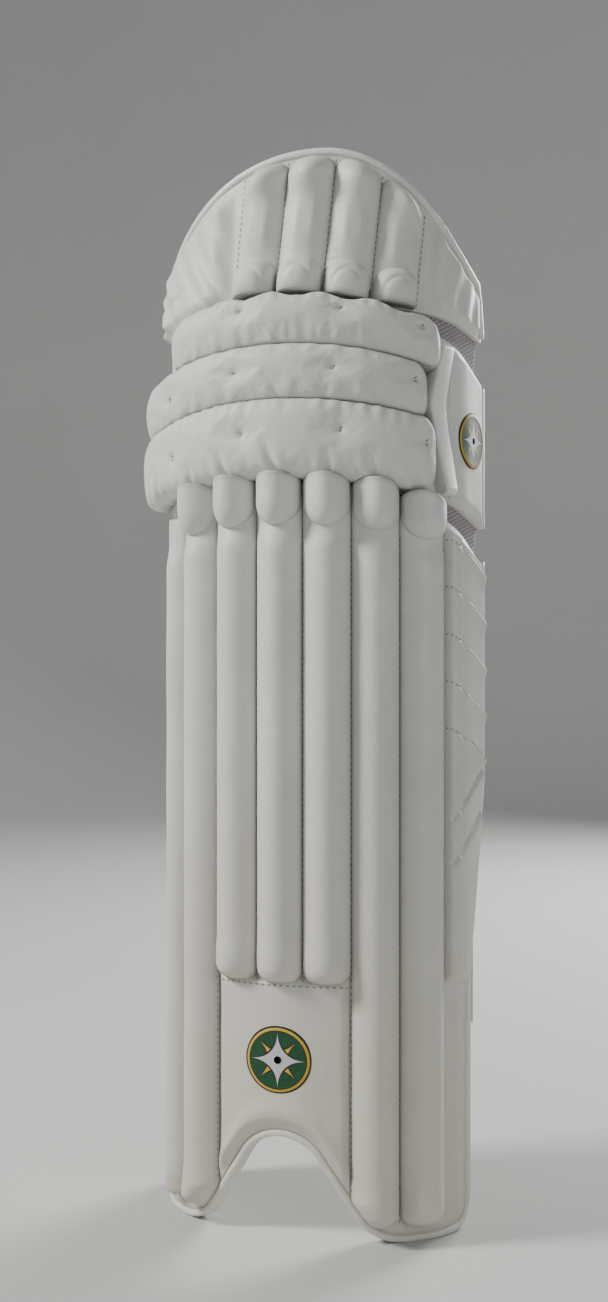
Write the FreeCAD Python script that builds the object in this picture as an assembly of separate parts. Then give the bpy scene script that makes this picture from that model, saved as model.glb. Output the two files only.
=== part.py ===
"""Cricket batting leg pad for the right leg, standing on its two feet as it is worn.

Frame: +Z runs up the leg, -Y is the striking front, +X is the outer side that carries the deep wing.
The shell is a padded gutter round the shin. Seen from above it follows the plan line below: a nose
arc, two cheek arcs and two straight wings. A place on the pad is (s, d, z): s runs along that line,
d is the distance outwards from it, and z is the height. Three zones, shin, knee and top hat, bend on
two soft hinges, and three straps close behind the leg. All sizes are millimetres.
"""

import FreeCAD, Part
import math
import os
from FreeCAD import Vector

# ---- driving dimensions -------------------------------------------------------------------------
SHIN_HEIGHT = 480.0          # floor to the front seam between the shin canes and the knee roll
KNEE_HEIGHT = 110.0          # from there to the front seam between the knee roll and the top hat
HAT_HEIGHT = 100.0
KNEE_SEAM_Z = SHIN_HEIGHT
HAT_SEAM_Z = KNEE_SEAM_Z + KNEE_HEIGHT
TOTAL_HEIGHT = HAT_SEAM_Z + HAT_HEIGHT

NOSE_RADIUS = 125.0          # plan line: front arc
NOSE_ANGLE = 42.0
CHEEK_RADIUS = 55.0          # plan line: arcs that turn to the wings
WING_ANGLE = 82.0
WING_LENGTH = 32.0           # straight wing behind each cheek

BOARD_THICKNESS = 6.0        # foam board, the stiff middle layer
SKIN_THICKNESS = 1.0         # facing and lining
LAYER_GAP = 0.1              # between sewn layers
BINDING_WIDTH = 4.0
BINDING_LAP = 1.2            # how far the binding stands over the layers it folds round

CANE_PITCH = 30.0
CANE_RISE = 15.0
CANE_LIP = 3.0
CANE_COUNT = 6
CANE_START_S = -75.0
CANE_FOOT_Z = 10.0
CANE_BULB_HEIGHT = 25.0
CANE_BULB_EXTRA_RISE = 3.0
SHORT_CANE_FOOT_Z = 163.0
ROD_RADIUS = 3.5
ROD_CLEARANCE = 0.2
ROD_END_MARGIN = 16.0

HAT_CANE_PITCH = 30.0
HAT_CANE_COUNT = 4
HAT_CANE_START_S = -30.0
HAT_CANE_RISE = 13.0
HAT_BULB_HEIGHT = 22.0

ARCH_HEIGHT = 66.0           # instep cut-out over the shoe
ARCH_TOP_RADIUS = 28.0
ARCH_FOOT_RADIUS = 32.0
ARCH_SLOPE = 57.0

KNEE_ROLL_RISE = 19.0
KNEE_ROLL_ROUND = 8.0
KNEE_ROLL_GAP = 0.8
LOWER_ROLL_HEIGHT = 44.0
MIDDLE_ROLL_HEIGHT = 34.0    # the upper roll takes what is left below the top hat
KNEE_SEAM_SLOPE = 16.0       # the seams fall towards the back of the leg
HAT_SEAM_SLOPE = 24.0

BEND_Y = 5.0                 # both soft hinges lie in the foam board
KNEE_WEDGE = 12.5            # notch that lets the knee zone bend back
HAT_WEDGE = 15.5
HAT_TILT = 5.0               # the top hat leans back at rest
BEND_GAP = 1.5

SHIN_ROLL_RISE = 23.0        # mesh bolsters beside the shin bone
SHIN_ROLL_INNER_S = 31.0
SHIN_TO_SIDE_ROLL = 4.0      # between a mesh bolster and the side roll beside it
SHIN_ROLL_FOOT_Z = 70.0
SHIN_ROLL_TOP_DROP = 12.0
SIDE_ROLL_RISE = 11.0
SIDE_ROLL_WIDTH = 52.0
SIDE_ROLL_EDGE = 6.0         # from the back edge of the wing
KNEE_PAD_RISE = 24.0
KNEE_PAD_INNER_S = 25.0
KNEE_PAD_EDGE = 12.0

STRAP_STANDOFF = 2.5         # from the wings' back edges to the plane of the ring bars
RING_WIRE_RADIUS = 1.6
RING_RUNNING_CLEARANCE = 0.15
RING_PITCH = 20.0            # between the keeper bar and the strap bar
RING_INSET = 16.0            # from the outside of the inner wing to the keeper's bar
RING_END_ROOM = 3.0          # between the strap's edge and the ring's end bar
WEBBING_THICKNESS = 1.6
TAPE_THICKNESS = 1.5
HOOK_THICKNESS = 1.0
STRAP_TAB_GAP = 0.4
# name: (centre height, strap width, tab inset, tab length, patch width, patch inset); the insets are
# measured from the outside of the outer wing to where the tab and the patch start
STRAPS = {
    "upper": (KNEE_SEAM_Z - 1.0, 34.0, 40.0, 19.0, 40.0, 56.0),
    "middle": (KNEE_SEAM_Z - 128.0, 52.0, 78.0, 50.0, 56.0, 84.0),
    "bottom": (160.0, 58.0, 52.0, 23.0, 64.0, 70.0),
}

# ---- plan line ----------------------------------------------------------------------------------
S_NOSE = NOSE_RADIUS * math.radians(NOSE_ANGLE)
S_CHEEK = S_NOSE + CHEEK_RADIUS * math.radians(WING_ANGLE - NOSE_ANGLE)
S_EDGE = S_CHEEK + WING_LENGTH
FACING_D = LAYER_GAP                                     # inner face of the facing
OUTER_D = FACING_D + SKIN_THICKNESS + LAYER_GAP          # where the front padding sits
LINING_D = -BOARD_THICKNESS - LAYER_GAP                  # outer face of the lining
INNER_D = LINING_D - SKIN_THICKNESS - LAYER_GAP          # where the back padding sits
FAR = 400.0                  # past every edge of the pad
SIDE_ROLL_SPAN = (S_EDGE - SIDE_ROLL_EDGE - SIDE_ROLL_WIDTH, S_EDGE - SIDE_ROLL_EDGE)
SHIN_ROLL_SPAN = (SHIN_ROLL_INNER_S, SIDE_ROLL_SPAN[0] - SHIN_TO_SIDE_ROLL)
KNEE_PAD_SPAN = (KNEE_PAD_INNER_S, S_EDGE - KNEE_PAD_EDGE)
KNEE_ROLL_SEAMS = (
    KNEE_SEAM_Z,
    KNEE_SEAM_Z + LOWER_ROLL_HEIGHT,
    KNEE_SEAM_Z + LOWER_ROLL_HEIGHT + MIDDLE_ROLL_HEIGHT,
    HAT_SEAM_Z,
)


def plan_point(s, d):
    """The point of the plan line at s, moved outwards by d."""
    side = 1.0 if s >= 0 else -1.0
    run = abs(s)
    if run <= S_NOSE:
        turn = run / NOSE_RADIUS
        x = (NOSE_RADIUS + d) * math.sin(turn)
        y = NOSE_RADIUS - (NOSE_RADIUS + d) * math.cos(turn)
        return Vector(side * x, y, 0)
    nose = math.radians(NOSE_ANGLE)
    x = (NOSE_RADIUS - CHEEK_RADIUS) * math.sin(nose)
    y = NOSE_RADIUS - (NOSE_RADIUS - CHEEK_RADIUS) * math.cos(nose)
    turn = nose + min(run - S_NOSE, S_CHEEK - S_NOSE) / CHEEK_RADIUS
    x += (CHEEK_RADIUS + d) * math.sin(turn)
    y -= (CHEEK_RADIUS + d) * math.cos(turn)
    past = max(0.0, run - S_CHEEK)
    return Vector(side * (x + past * math.cos(turn)), y + past * math.sin(turn), 0)


def plan_normal(s):
    """The outward direction at s."""
    return plan_point(s, 1.0) - plan_point(s, 0.0)


def plan_edges(s0, s1, d):
    """The edges of the plan line from s0 to s1, moved outwards by d."""
    stops = [s0] + [b for b in (-S_CHEEK, -S_NOSE, S_NOSE, S_CHEEK) if s0 < b < s1] + [s1]
    edges = []
    for a, b in zip(stops, stops[1:]):
        start, middle, end = (plan_point(s, d) for s in (a, (a + b) / 2, b))
        if abs(a + b) / 2 > S_CHEEK:
            edges.append(Part.LineSegment(start, end).toShape())
        else:
            edges.append(Part.Arc(start, middle, end).toShape())
    return edges


def raised(face, z0, z1):
    """A face drawn at z = 0, extruded from z0 to z1."""
    return face.translated(Vector(0, 0, z0)).extrude(Vector(0, 0, z1 - z0))


def band(d0, d1, s0=-S_EDGE, s1=S_EDGE, z0=-FAR, z1=2 * FAR):
    """A layer of the gutter between the offsets d0 and d1."""
    ends = [Part.LineSegment(plan_point(s, d0), plan_point(s, d1)).toShape() for s in (s0, s1)]
    wire = Part.Wire(plan_edges(s0, s1, d0) + [ends[1]] + plan_edges(s0, s1, d1)[::-1] + [ends[0]])
    return raised(Part.Face(wire), z0, z1)


def roll_face(s0, s1, d, rise, lip):
    """Plan section of a padded roll that sits at offset d and swells by rise."""
    sign = math.copysign(1.0, rise)
    low, high, crown = (
        plan_point(s0, d + sign * lip),
        plan_point(s1, d + sign * lip),
        plan_point((s0 + s1) / 2, d + rise),
    )
    ends = [
        Part.LineSegment(plan_point(s0, d), low).toShape(),
        Part.LineSegment(plan_point(s1, d), high).toShape(),
    ]
    top = Part.Arc(low, crown, high).toShape()
    return Part.Face(Part.Wire(plan_edges(s0, s1, d) + [ends[1], top, ends[0]]))


def front_prism(edges):
    """A closed outline drawn in X and Z, extruded through the whole depth."""
    face = Part.Face(Part.Wire(Part.sortEdges(edges)[0]))
    return face.translated(Vector(0, -FAR, 0)).extrude(Vector(0, 2 * FAR, 0))


def side_prism(edges, x0, x1):
    """A closed outline drawn in Y and Z, extruded from x0 to x1."""
    face = Part.Face(Part.Wire(Part.sortEdges(edges)[0]))
    return face.translated(Vector(x0, 0, 0)).extrude(Vector(x1 - x0, 0, 0))


def polygon(points):
    """The edges of a closed polygon."""
    return Part.makePolygon(list(points) + [points[0]]).Edges


def yz(y, z):
    return Vector(0, y, z)


def xz(x, z):
    return Vector(x, 0, z)


def fillet_arc(before, corner, after, radius):
    """Tangent points and middle point of an arc that rounds a corner."""
    u = (before - corner).normalize()
    v = (after - corner).normalize()
    half = u.getAngle(v) / 2
    reach = radius / math.tan(half)
    bisector = (u + v).normalize()
    middle = corner + bisector * (radius / math.sin(half) - radius)
    return corner + u * reach, middle, corner + v * reach


def rounded(points, radii):
    """The edges of a closed polygon whose corners are rounded by radii (0 keeps a corner)."""
    count = len(points)
    corners = []
    for i, radius in enumerate(radii):
        before, corner, after = points[i - 1], points[i], points[(i + 1) % count]
        corners.append(fillet_arc(before, corner, after, radius) if radius else (corner, None, corner))
    edges = []
    for i, (start, middle, end) in enumerate(corners):
        if middle is not None:
            edges.append(Part.Arc(start, middle, end).toShape())
        following = corners[(i + 1) % count][0]
        if (following - end).Length > 1e-6:
            edges.append(Part.LineSegment(end, following).toShape())
    return edges


def falling(z, slope, y):
    """Height at depth y of a seam that is at z at the front and falls backwards at slope degrees."""
    return z - y * math.tan(math.radians(slope))


def slab(low, high):
    """The space between two seams, each a list of (y, z) points from front to back."""
    points = [yz(y, z) for y, z in low] + [yz(y, z) for y, z in reversed(high)]
    return side_prism(polygon(points), -FAR, FAR)


def seam(z, slope, lift=0.0):
    """A straight seam across the whole depth."""
    return [(y, falling(z, slope, y) + lift) for y in (-FAR / 4, FAR / 2)]


def bent_seam(z, front_slope, back_slope):
    """A seam that keeps front_slope as far as the bend line and back_slope behind it."""
    hinge = falling(z, front_slope, BEND_Y)
    front = (-FAR / 4, hinge + (BEND_Y + FAR / 4) * math.tan(math.radians(front_slope)))
    back = (FAR / 2, hinge - (FAR / 2 - BEND_Y) * math.tan(math.radians(back_slope)))
    return [front, (BEND_Y, hinge), back]


# ---- the three zones ----------------------------------------------------------------------------
KNEE_BEND_Z = falling(KNEE_SEAM_Z, KNEE_SEAM_SLOPE, BEND_Y) - BEND_GAP / 2
HAT_BEND_Z = falling(HAT_SEAM_Z, HAT_SEAM_SLOPE, BEND_Y) + BEND_GAP / 2
WING_BACK_Y = plan_point(S_EDGE, 0).y
OUTER_FOOT_BACK_Y = WING_BACK_Y - 24.0
OUTER_TAPER_Z = (165.0, 285.0)
FOOT_CORNER_RADIUS = 22.0

shin_top = bent_seam(KNEE_SEAM_Z - BEND_GAP, KNEE_SEAM_SLOPE, KNEE_SEAM_SLOPE + KNEE_WEDGE)
knee_bottom = seam(KNEE_SEAM_Z, KNEE_SEAM_SLOPE)
knee_top = seam(HAT_SEAM_Z, HAT_SEAM_SLOPE)
hat_bottom = bent_seam(
    HAT_SEAM_Z + BEND_GAP, HAT_SEAM_SLOPE, HAT_SEAM_SLOPE - HAT_WEDGE - HAT_TILT
)


def arch_edges(inset):
    """Front outline of the shin zone: square at the top, with the instep arch below."""
    slope = math.radians(ARCH_SLOPE)
    top_r = ARCH_TOP_RADIUS + inset
    foot_r = ARCH_FOOT_RADIUS - inset
    apex = ARCH_HEIGHT + inset
    drop = 1 - math.cos(slope)
    shoulder = Vector(top_r * math.sin(slope), 0, apex - top_r * drop)
    run = (shoulder.z - foot_r * drop - inset) / math.tan(slope)
    knee = Vector(shoulder.x + run, 0, inset + foot_r * drop)
    toe = Vector(knee.x + foot_r * math.sin(slope), 0, inset)
    half = slope / 2
    bend = Vector(toe.x - foot_r * math.sin(half), 0, inset + foot_r * (1 - math.cos(half)))

    def mirror(p):
        return Vector(-p.x, 0, p.z)

    width = 1.5 * NOSE_RADIUS
    return [
        Part.Arc(mirror(shoulder), xz(0, apex), shoulder).toShape(),
        Part.LineSegment(shoulder, knee).toShape(),
        Part.Arc(knee, bend, toe).toShape(),
        Part.LineSegment(toe, xz(width, inset)).toShape(),
        Part.LineSegment(xz(width, inset), xz(width, FAR * 2)).toShape(),
        Part.LineSegment(xz(width, FAR * 2), xz(-width, FAR * 2)).toShape(),
        Part.LineSegment(xz(-width, FAR * 2), xz(-width, inset)).toShape(),
        Part.LineSegment(xz(-width, inset), mirror(toe)).toShape(),
        Part.Arc(mirror(toe), mirror(bend), mirror(knee)).toShape(),
        Part.LineSegment(mirror(knee), mirror(shoulder)).toShape(),
    ]


def wing_outline(back_y, foot_back_y, inset):
    """Side outline of the shin zone with a round rear corner at the foot."""
    low, high = OUTER_TAPER_Z
    points = [
        yz(-FAR / 4, inset),
        yz(foot_back_y - inset, inset),
        yz(foot_back_y - inset, low),
        yz(back_y - inset, high),
        yz(back_y - inset, FAR * 2),
        yz(-FAR / 4, FAR * 2),
    ]
    radii = [0, FOOT_CORNER_RADIUS - inset, 0, 0, 0, 0]
    if abs(back_y - foot_back_y) < 1e-6:
        del points[2:4], radii[2:4]
    return rounded(points, radii)


def shin_space(inset):
    """All the space that the shin zone's layers may fill, drawn in from its edges by inset."""
    outer = side_prism(wing_outline(WING_BACK_Y, OUTER_FOOT_BACK_Y, inset), 0, FAR)
    inner = side_prism(wing_outline(WING_BACK_Y, WING_BACK_Y, inset), -FAR, 0)
    sides = outer.fuse(inner).removeSplitter()
    return sides.common(front_prism(arch_edges(inset))).common(slab([(-FAR, -1), (FAR, -1)], shin_top))


def knee_space(inset):
    """The same for the knee zone, whose only free edges are its two back edges."""
    depth = slab(knee_bottom, knee_top)
    back = WING_BACK_Y - inset
    box = Part.makeBox(2 * FAR, back + FAR / 4, 2 * FAR, Vector(-FAR, -FAR / 4, 0))
    return depth.common(box)


HAT_ARCH_BASE_Z = HAT_SEAM_Z - 15.0
HAT_ARCH_HALF_WIDTH = plan_point(S_EDGE, 0).x + 6.25
HAT_CROWN_X = 26.0            # the top hat is cut off-centre, towards the outer side
HAT_SIDE_CENTRE_Y = 30.0
HAT_SIDE_RISE = HAT_HEIGHT - 15.0


def quarter(centre, along, up):
    """A quarter ellipse from the end of along to the end of up."""
    flat = centre + along
    crown = centre + up
    if along.Length > up.Length:
        curve = Part.Ellipse(flat, crown, centre)
        return Part.ArcOfEllipse(curve, 0, math.pi / 2).toShape()
    curve = Part.Ellipse(crown, centre - along, centre)
    return Part.ArcOfEllipse(curve, 3 * math.pi / 2, 2 * math.pi).toShape()


def arch_outline(centre, left, right, rise):
    """An arch of two quarter ellipses on a long skirt; left and right are its half widths."""
    up = Vector(0, 0, rise)
    skirt = Vector(0, 0, -FAR)
    a, b = centre + left, centre + right
    return [
        quarter(centre, left, up),
        quarter(centre, right, up),
        Part.LineSegment(a, a + skirt).toShape(),
        Part.LineSegment(a + skirt, b + skirt).toShape(),
        Part.LineSegment(b + skirt, b).toShape(),
    ]


def hat_space(inset):
    """The same for the top hat: an arch from the front and a falling curve from the side."""
    rise = TOTAL_HEIGHT - HAT_ARCH_BASE_Z - inset
    half = HAT_ARCH_HALF_WIDTH - inset
    inner, outer = Vector(-half - HAT_CROWN_X, 0, 0), Vector(half - HAT_CROWN_X, 0, 0)
    arch = front_prism(arch_outline(xz(HAT_CROWN_X, HAT_ARCH_BASE_Z), inner, outer, rise))
    deep = Vector(0, WING_BACK_Y - HAT_SIDE_CENTRE_Y - inset, 0)
    centre = yz(HAT_SIDE_CENTRE_Y, HAT_ARCH_BASE_Z)
    fall = side_prism(arch_outline(centre, -deep, deep, HAT_SIDE_RISE - inset), -FAR, FAR)
    front = Part.makeBox(
        2 * FAR, HAT_SIDE_CENTRE_Y + FAR / 4, 2 * FAR, Vector(-FAR, -FAR / 4, 0)
    )
    return arch.common(fall.fuse(front)).common(slab(hat_bottom, [(-FAR, FAR * 3), (FAR, FAR * 3)]))


ZONES = {
    "shin": (shin_space(0), shin_space(BINDING_WIDTH)),
    "knee": (knee_space(0), knee_space(BINDING_WIDTH)),
    "hat": (hat_space(0), hat_space(BINDING_WIDTH)),
}


def hat_place(shape):
    """Leans a piece of the top hat back about its soft hinge."""
    return shape.rotated(Vector(0, BEND_Y, HAT_BEND_Z), Vector(1, 0, 0), -HAT_TILT)


made = {}


def keep(name, shape, zone=None):
    """Stores one named sub-part as its separate solids."""
    if zone == "hat":
        shape = hat_place(shape)
    solids = shape.Solids
    made[name] = solids[0] if len(solids) == 1 else Part.makeCompound(solids)


def binding(zone):
    """Edge tape folded round all the layers of a zone."""
    whole, inside = ZONES[zone]
    layers = band(INNER_D - BINDING_LAP, OUTER_D + BINDING_LAP)
    return layers.common(whole).cut(inside)


# ---- layers -------------------------------------------------------------------------------------
def layer(zone, d0, d1, s0=-S_EDGE, s1=S_EDGE):
    return band(d0, d1, s0, s1).common(ZONES[zone][1])


for zone in ZONES:
    keep(zone + "_foam_board", layer(zone, -BOARD_THICKNESS, 0), zone)
    keep(zone + "_facing", layer(zone, FACING_D, FACING_D + SKIN_THICKNESS), zone)
    keep(zone + "_lining", layer(zone, LINING_D - SKIN_THICKNESS, LINING_D), zone)
    keep(zone + "_edge_binding", binding(zone), zone)

# ---- shin canes ---------------------------------------------------------------------------------
ROD_D = OUTER_D + 0.42 * CANE_RISE
CANE_END_RADIUS = 11.0
CANE_SIDE_GAP = 0.3


def upright_slot(s, d, width, z0, z1, radius):
    """A round-cornered prism that stands on the plan line at s and faces outwards."""
    along = plan_point(s + 0.5, 0) - plan_point(s - 0.5, 0)
    along.normalize()
    normal = plan_normal(s)
    base = plan_point(s, d - 60)
    corners = [
        base + along * (width / 2 * i) + Vector(0, 0, z)
        for i, z in ((-1, z0), (1, z0), (1, z1), (-1, z1))
    ]
    face = Part.Face(Part.Wire(rounded(corners, [radius] * 4)))
    return face.extrude(normal * 120)


def cane_span(index, start, pitch):
    s0 = start + index * pitch
    return s0 + CANE_SIDE_GAP, s0 + pitch - CANE_SIDE_GAP


def rod(s, z0, z1, radius):
    foot = plan_point(s, ROD_D) + Vector(0, 0, z0)
    return Part.makeCylinder(radius, z1 - z0, foot, Vector(0, 0, 1))


rods = []
bulbs = []
longs = []
shorts = []
arch_clear = front_prism(arch_edges(BINDING_WIDTH + 0.3))
short_canes = (1, 2, 3)
shin_bulb_z = KNEE_SEAM_Z - BEND_GAP - CANE_BULB_HEIGHT
for i in range(CANE_COUNT):
    s0, s1 = cane_span(i, CANE_START_S, CANE_PITCH)
    middle = (s0 + s1) / 2
    foot_z = SHORT_CANE_FOOT_Z if i in short_canes else CANE_FOOT_Z
    drop = plan_point(middle, 0).y * math.tan(math.radians(KNEE_SEAM_SLOPE))
    bulb_z = shin_bulb_z - drop
    body = raised(roll_face(s0, s1, OUTER_D, CANE_RISE, CANE_LIP), foot_z, bulb_z)
    body = body.common(upright_slot(middle, 0, s1 - s0 + 4, foot_z, bulb_z + 40, CANE_END_RADIUS))
    low, high = foot_z + ROD_END_MARGIN, bulb_z - ROD_END_MARGIN
    hole = rod(middle, low - ROD_CLEARANCE, high + ROD_CLEARANCE, ROD_RADIUS + ROD_CLEARANCE)
    body = body.cut(hole).common(arch_clear)
    (shorts if i in short_canes else longs).append(body)
    rods.append(rod(middle, low, high, ROD_RADIUS))
    bulb_face = roll_face(s0, s1, OUTER_D, CANE_RISE + CANE_BULB_EXTRA_RISE, CANE_LIP)
    bulb = raised(bulb_face, bulb_z + LAYER_GAP, KNEE_SEAM_Z)
    bulbs.append(bulb.common(ZONES["shin"][0]))
keep("long_shin_canes", Part.makeCompound(longs))
keep("short_shin_canes", Part.makeCompound(shorts))
keep("shin_cane_rods", Part.makeCompound(rods))
keep("knee_cap_pads", Part.makeCompound(bulbs))

# ---- shin front: side roll, instep, wing --------------------------------------------------------
EDGE_ROLL_SPAN = (CANE_START_S - 24.0, CANE_START_S - CANE_SIDE_GAP)
edge_roll = raised(roll_face(EDGE_ROLL_SPAN[0], EDGE_ROLL_SPAN[1], OUTER_D, 8.0, 2.0), 10.0, FAR * 2)
keep("inner_edge_roll", edge_roll.common(ZONES["shin"][1]))

INSTEP_THICKNESS = 3.0
INSTEP_BINDING_GAP = 1.0
instep = band(
    OUTER_D,
    OUTER_D + INSTEP_THICKNESS,
    CANE_START_S + CANE_PITCH + 1.0,
    CANE_START_S + 4 * CANE_PITCH - 1.0,
    0,
    SHORT_CANE_FOOT_Z - 1.0,
)
instep = instep.common(shin_space(BINDING_WIDTH + INSTEP_BINDING_GAP))
keep("instep_panel", instep)

BADGE_THICKNESS = 0.6


def badge(s, z, radius, d):
    """A thin round emblem that follows the pad's curve."""
    disc = Part.makeCylinder(radius, 80, plan_point(s, d - 30) + Vector(0, 0, z), plan_normal(s))
    width = 2 * radius
    return band(d, d + BADGE_THICKNESS, s - width, s + width, z - width, z + width).common(disc)


INSTEP_BADGE_Z = 115.0
INSTEP_BADGE_RADIUS = 22.0
keep("instep_badge", badge(0, INSTEP_BADGE_Z, INSTEP_BADGE_RADIUS, OUTER_D + INSTEP_THICKNESS + LAYER_GAP))

WING_PANEL_SPAN = (CANE_START_S + CANE_COUNT * CANE_PITCH + 1.5, S_EDGE - BINDING_WIDTH - 2.0)
WING_PANEL_THICKNESS = 4.0
WING_PANEL_FOOT_Z = 158.0
WING_PANEL_GAP = 2.5
WING_RIB_COUNT = 6
WING_RIB_TOP_Z = KNEE_SEAM_Z - 55.0
WING_RIB_PITCH = 30.0
WING_RIB_SLOPE = 24.0
WING_RIB_HEIGHT = 22.0
wing_space = shin_space(BINDING_WIDTH + WING_PANEL_GAP)
wing_panel = band(
    OUTER_D, OUTER_D + WING_PANEL_THICKNESS, *WING_PANEL_SPAN, WING_PANEL_FOOT_Z, FAR * 2
).common(wing_space)
wing_top = OUTER_D + WING_PANEL_THICKNESS + LAYER_GAP
ribs = []
for i in range(WING_RIB_COUNT):
    z = WING_RIB_TOP_Z - i * WING_RIB_PITCH
    low = [(y, falling(z, WING_RIB_SLOPE, y)) for y in (0, FAR / 2)]
    high = [(y, height + WING_RIB_HEIGHT) for y, height in low]
    rib = band(wing_top, wing_top + 2.5, WING_PANEL_SPAN[0] + 3, WING_PANEL_SPAN[1] - 3)
    ribs.append(rib.common(slab(low, high)).common(wing_space))
keep("outer_wing_panel", wing_panel)
keep("outer_wing_ribs", Part.makeCompound(ribs))

# ---- back of the shin ---------------------------------------------------------------------------
CENTRE_PANEL_HALF = 28.0
CENTRE_PANEL_Z = (140.0, KNEE_SEAM_Z - 14.0)
CENTRE_PANEL_THICKNESS = 1.5
centre_panel = band(
    INNER_D - CENTRE_PANEL_THICKNESS, INNER_D, -CENTRE_PANEL_HALF, CENTRE_PANEL_HALF, *CENTRE_PANEL_Z
)
keep("shin_centre_panel", centre_panel)

CORE_WALL = 2.5
CORE_GAP = 0.2


def tongue_outline(side, x0, x1, z0, z1, inset):
    """Front outline of a shin bolster: straight sides that close to a round tongue."""
    waist = z0 + 90
    tip = x0 + 0.42 * (x1 - x0)
    half = 0.3 * (x1 - x0)
    points = [
        xz(side * (x0 + inset), z1),
        xz(side * (x0 + inset), waist),
        xz(side * (tip - half + inset), z0 + inset),
        xz(side * (tip + half - inset), z0 + inset),
        xz(side * (x1 - inset), waist),
        xz(side * (x1 - inset), z1),
    ]
    return rounded(points, [0, 60, 14, 14, 60, 0])


def shin_roll(side, inset):
    """One long mesh bolster, or its foam core when inset is more than 0."""
    low, high = SHIN_ROLL_SPAN
    span = sorted((side * (low + inset), side * (high - inset)))
    base = INNER_D - inset
    face = roll_face(*span, base, -(SHIN_ROLL_RISE - 2 * inset), 4.0)
    solid = raised(face, 0, FAR * 2)
    x0, x1 = abs(plan_point(low, INNER_D).x) - 12, abs(plan_point(high, INNER_D).x) + 3
    solid = solid.common(front_prism(tongue_outline(side, x0, x1, SHIN_ROLL_FOOT_Z, FAR * 2, inset)))
    top = [(y, z - SHIN_ROLL_TOP_DROP - inset) for y, z in shin_top]
    return solid.common(slab([(-FAR, 0), (FAR, 0)], top))


cores = []
for name, side in (("outer", 1), ("inner", -1)):
    cover = shin_roll(side, 0)
    hollow = shin_roll(side, CORE_WALL)
    keep(name + "_shin_bolster", cover.cut(hollow))
    cores.append(shin_roll(side, CORE_WALL + CORE_GAP))
keep("shin_bolster_foams", Part.makeCompound(cores))

side_rolls = []
for side in (1, -1):
    span = sorted(side * s for s in SIDE_ROLL_SPAN)
    face = roll_face(*span, INNER_D, -SIDE_ROLL_RISE, 2.5)
    solid = raised(face, 120.0, FAR * 2)
    side_rolls.append(solid.common(shin_space(BINDING_WIDTH + 2.5)))
keep("wing_side_rolls", Part.makeCompound(side_rolls))

# ---- knee zone ----------------------------------------------------------------------------------
KNEE_ROLLS = {
    # name: (index of its lower seam, s at the inner end, s at the outer end)
    "lower_knee_roll": (0, -128.0, 96.0),
    "middle_knee_roll": (1, -124.0, 91.0),
    "upper_knee_roll": (2, -84.0, 99.0),
}
KNEE_SLOPES = [
    KNEE_SEAM_SLOPE + (HAT_SEAM_SLOPE - KNEE_SEAM_SLOPE) * (z - KNEE_SEAM_Z) / (HAT_SEAM_Z - KNEE_SEAM_Z)
    for z in KNEE_ROLL_SEAMS
]


def knee_roll(lower, s0, s1, inset_z, inset_s, d0, d1):
    """A stretch of the knee roll between two seams, drawn in from its edges."""
    low = seam(KNEE_ROLL_SEAMS[lower], KNEE_SLOPES[lower], inset_z)
    high = seam(KNEE_ROLL_SEAMS[lower + 1], KNEE_SLOPES[lower + 1], -inset_z)
    return band(d0, d1, s0 + inset_s, s1 - inset_s).common(slab(low, high))


def rounded_roll(solid, radius):
    """Rounds the long outer edges of a knee roll."""
    outer = []
    for edge in solid.Edges:
        middle = edge.valueAt((edge.FirstParameter + edge.LastParameter) / 2)
        flat = Vector(middle.x, middle.y, 0)
        outside = min(abs((flat - plan_point(s, OUTER_D + KNEE_ROLL_RISE)).Length) for s in samples)
        tangent = edge.tangentAt((edge.FirstParameter + edge.LastParameter) / 2)
        if outside < 0.6 and abs(tangent.z) < 0.7:
            outer.append(edge)
    return solid.makeFillet(radius, outer)


samples = [S_EDGE * i / 200 for i in range(-200, 201)]
foams = []
for name, (lower, s0, s1) in KNEE_ROLLS.items():
    d1 = OUTER_D + KNEE_ROLL_RISE
    cover = knee_roll(lower, s0, s1, KNEE_ROLL_GAP / 2, 0, OUTER_D, d1)
    cover = rounded_roll(cover, KNEE_ROLL_ROUND)
    inset = 4.5
    hollow = knee_roll(lower, s0, s1, inset, inset, OUTER_D + 2, d1 - 3)
    keep(name, cover.cut(hollow))
    foams.append(
        knee_roll(lower, s0, s1, inset + CORE_GAP, inset + CORE_GAP, OUTER_D + 2.2, d1 - 3.2)
    )
keep("knee_roll_foams", Part.makeCompound(foams))

KNEE_FRAME_SPAN = (100.5, 110.0)
KNEE_FRAME_RISE = 9.0
frame_low = seam(KNEE_SEAM_Z, KNEE_SEAM_SLOPE, 1.0)
frame_high = seam(HAT_SEAM_Z - 8.0, HAT_SEAM_SLOPE)
frame = band(OUTER_D, OUTER_D + KNEE_FRAME_RISE, *KNEE_FRAME_SPAN).common(slab(frame_low, frame_high))
keep("knee_side_frame", frame)

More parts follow.
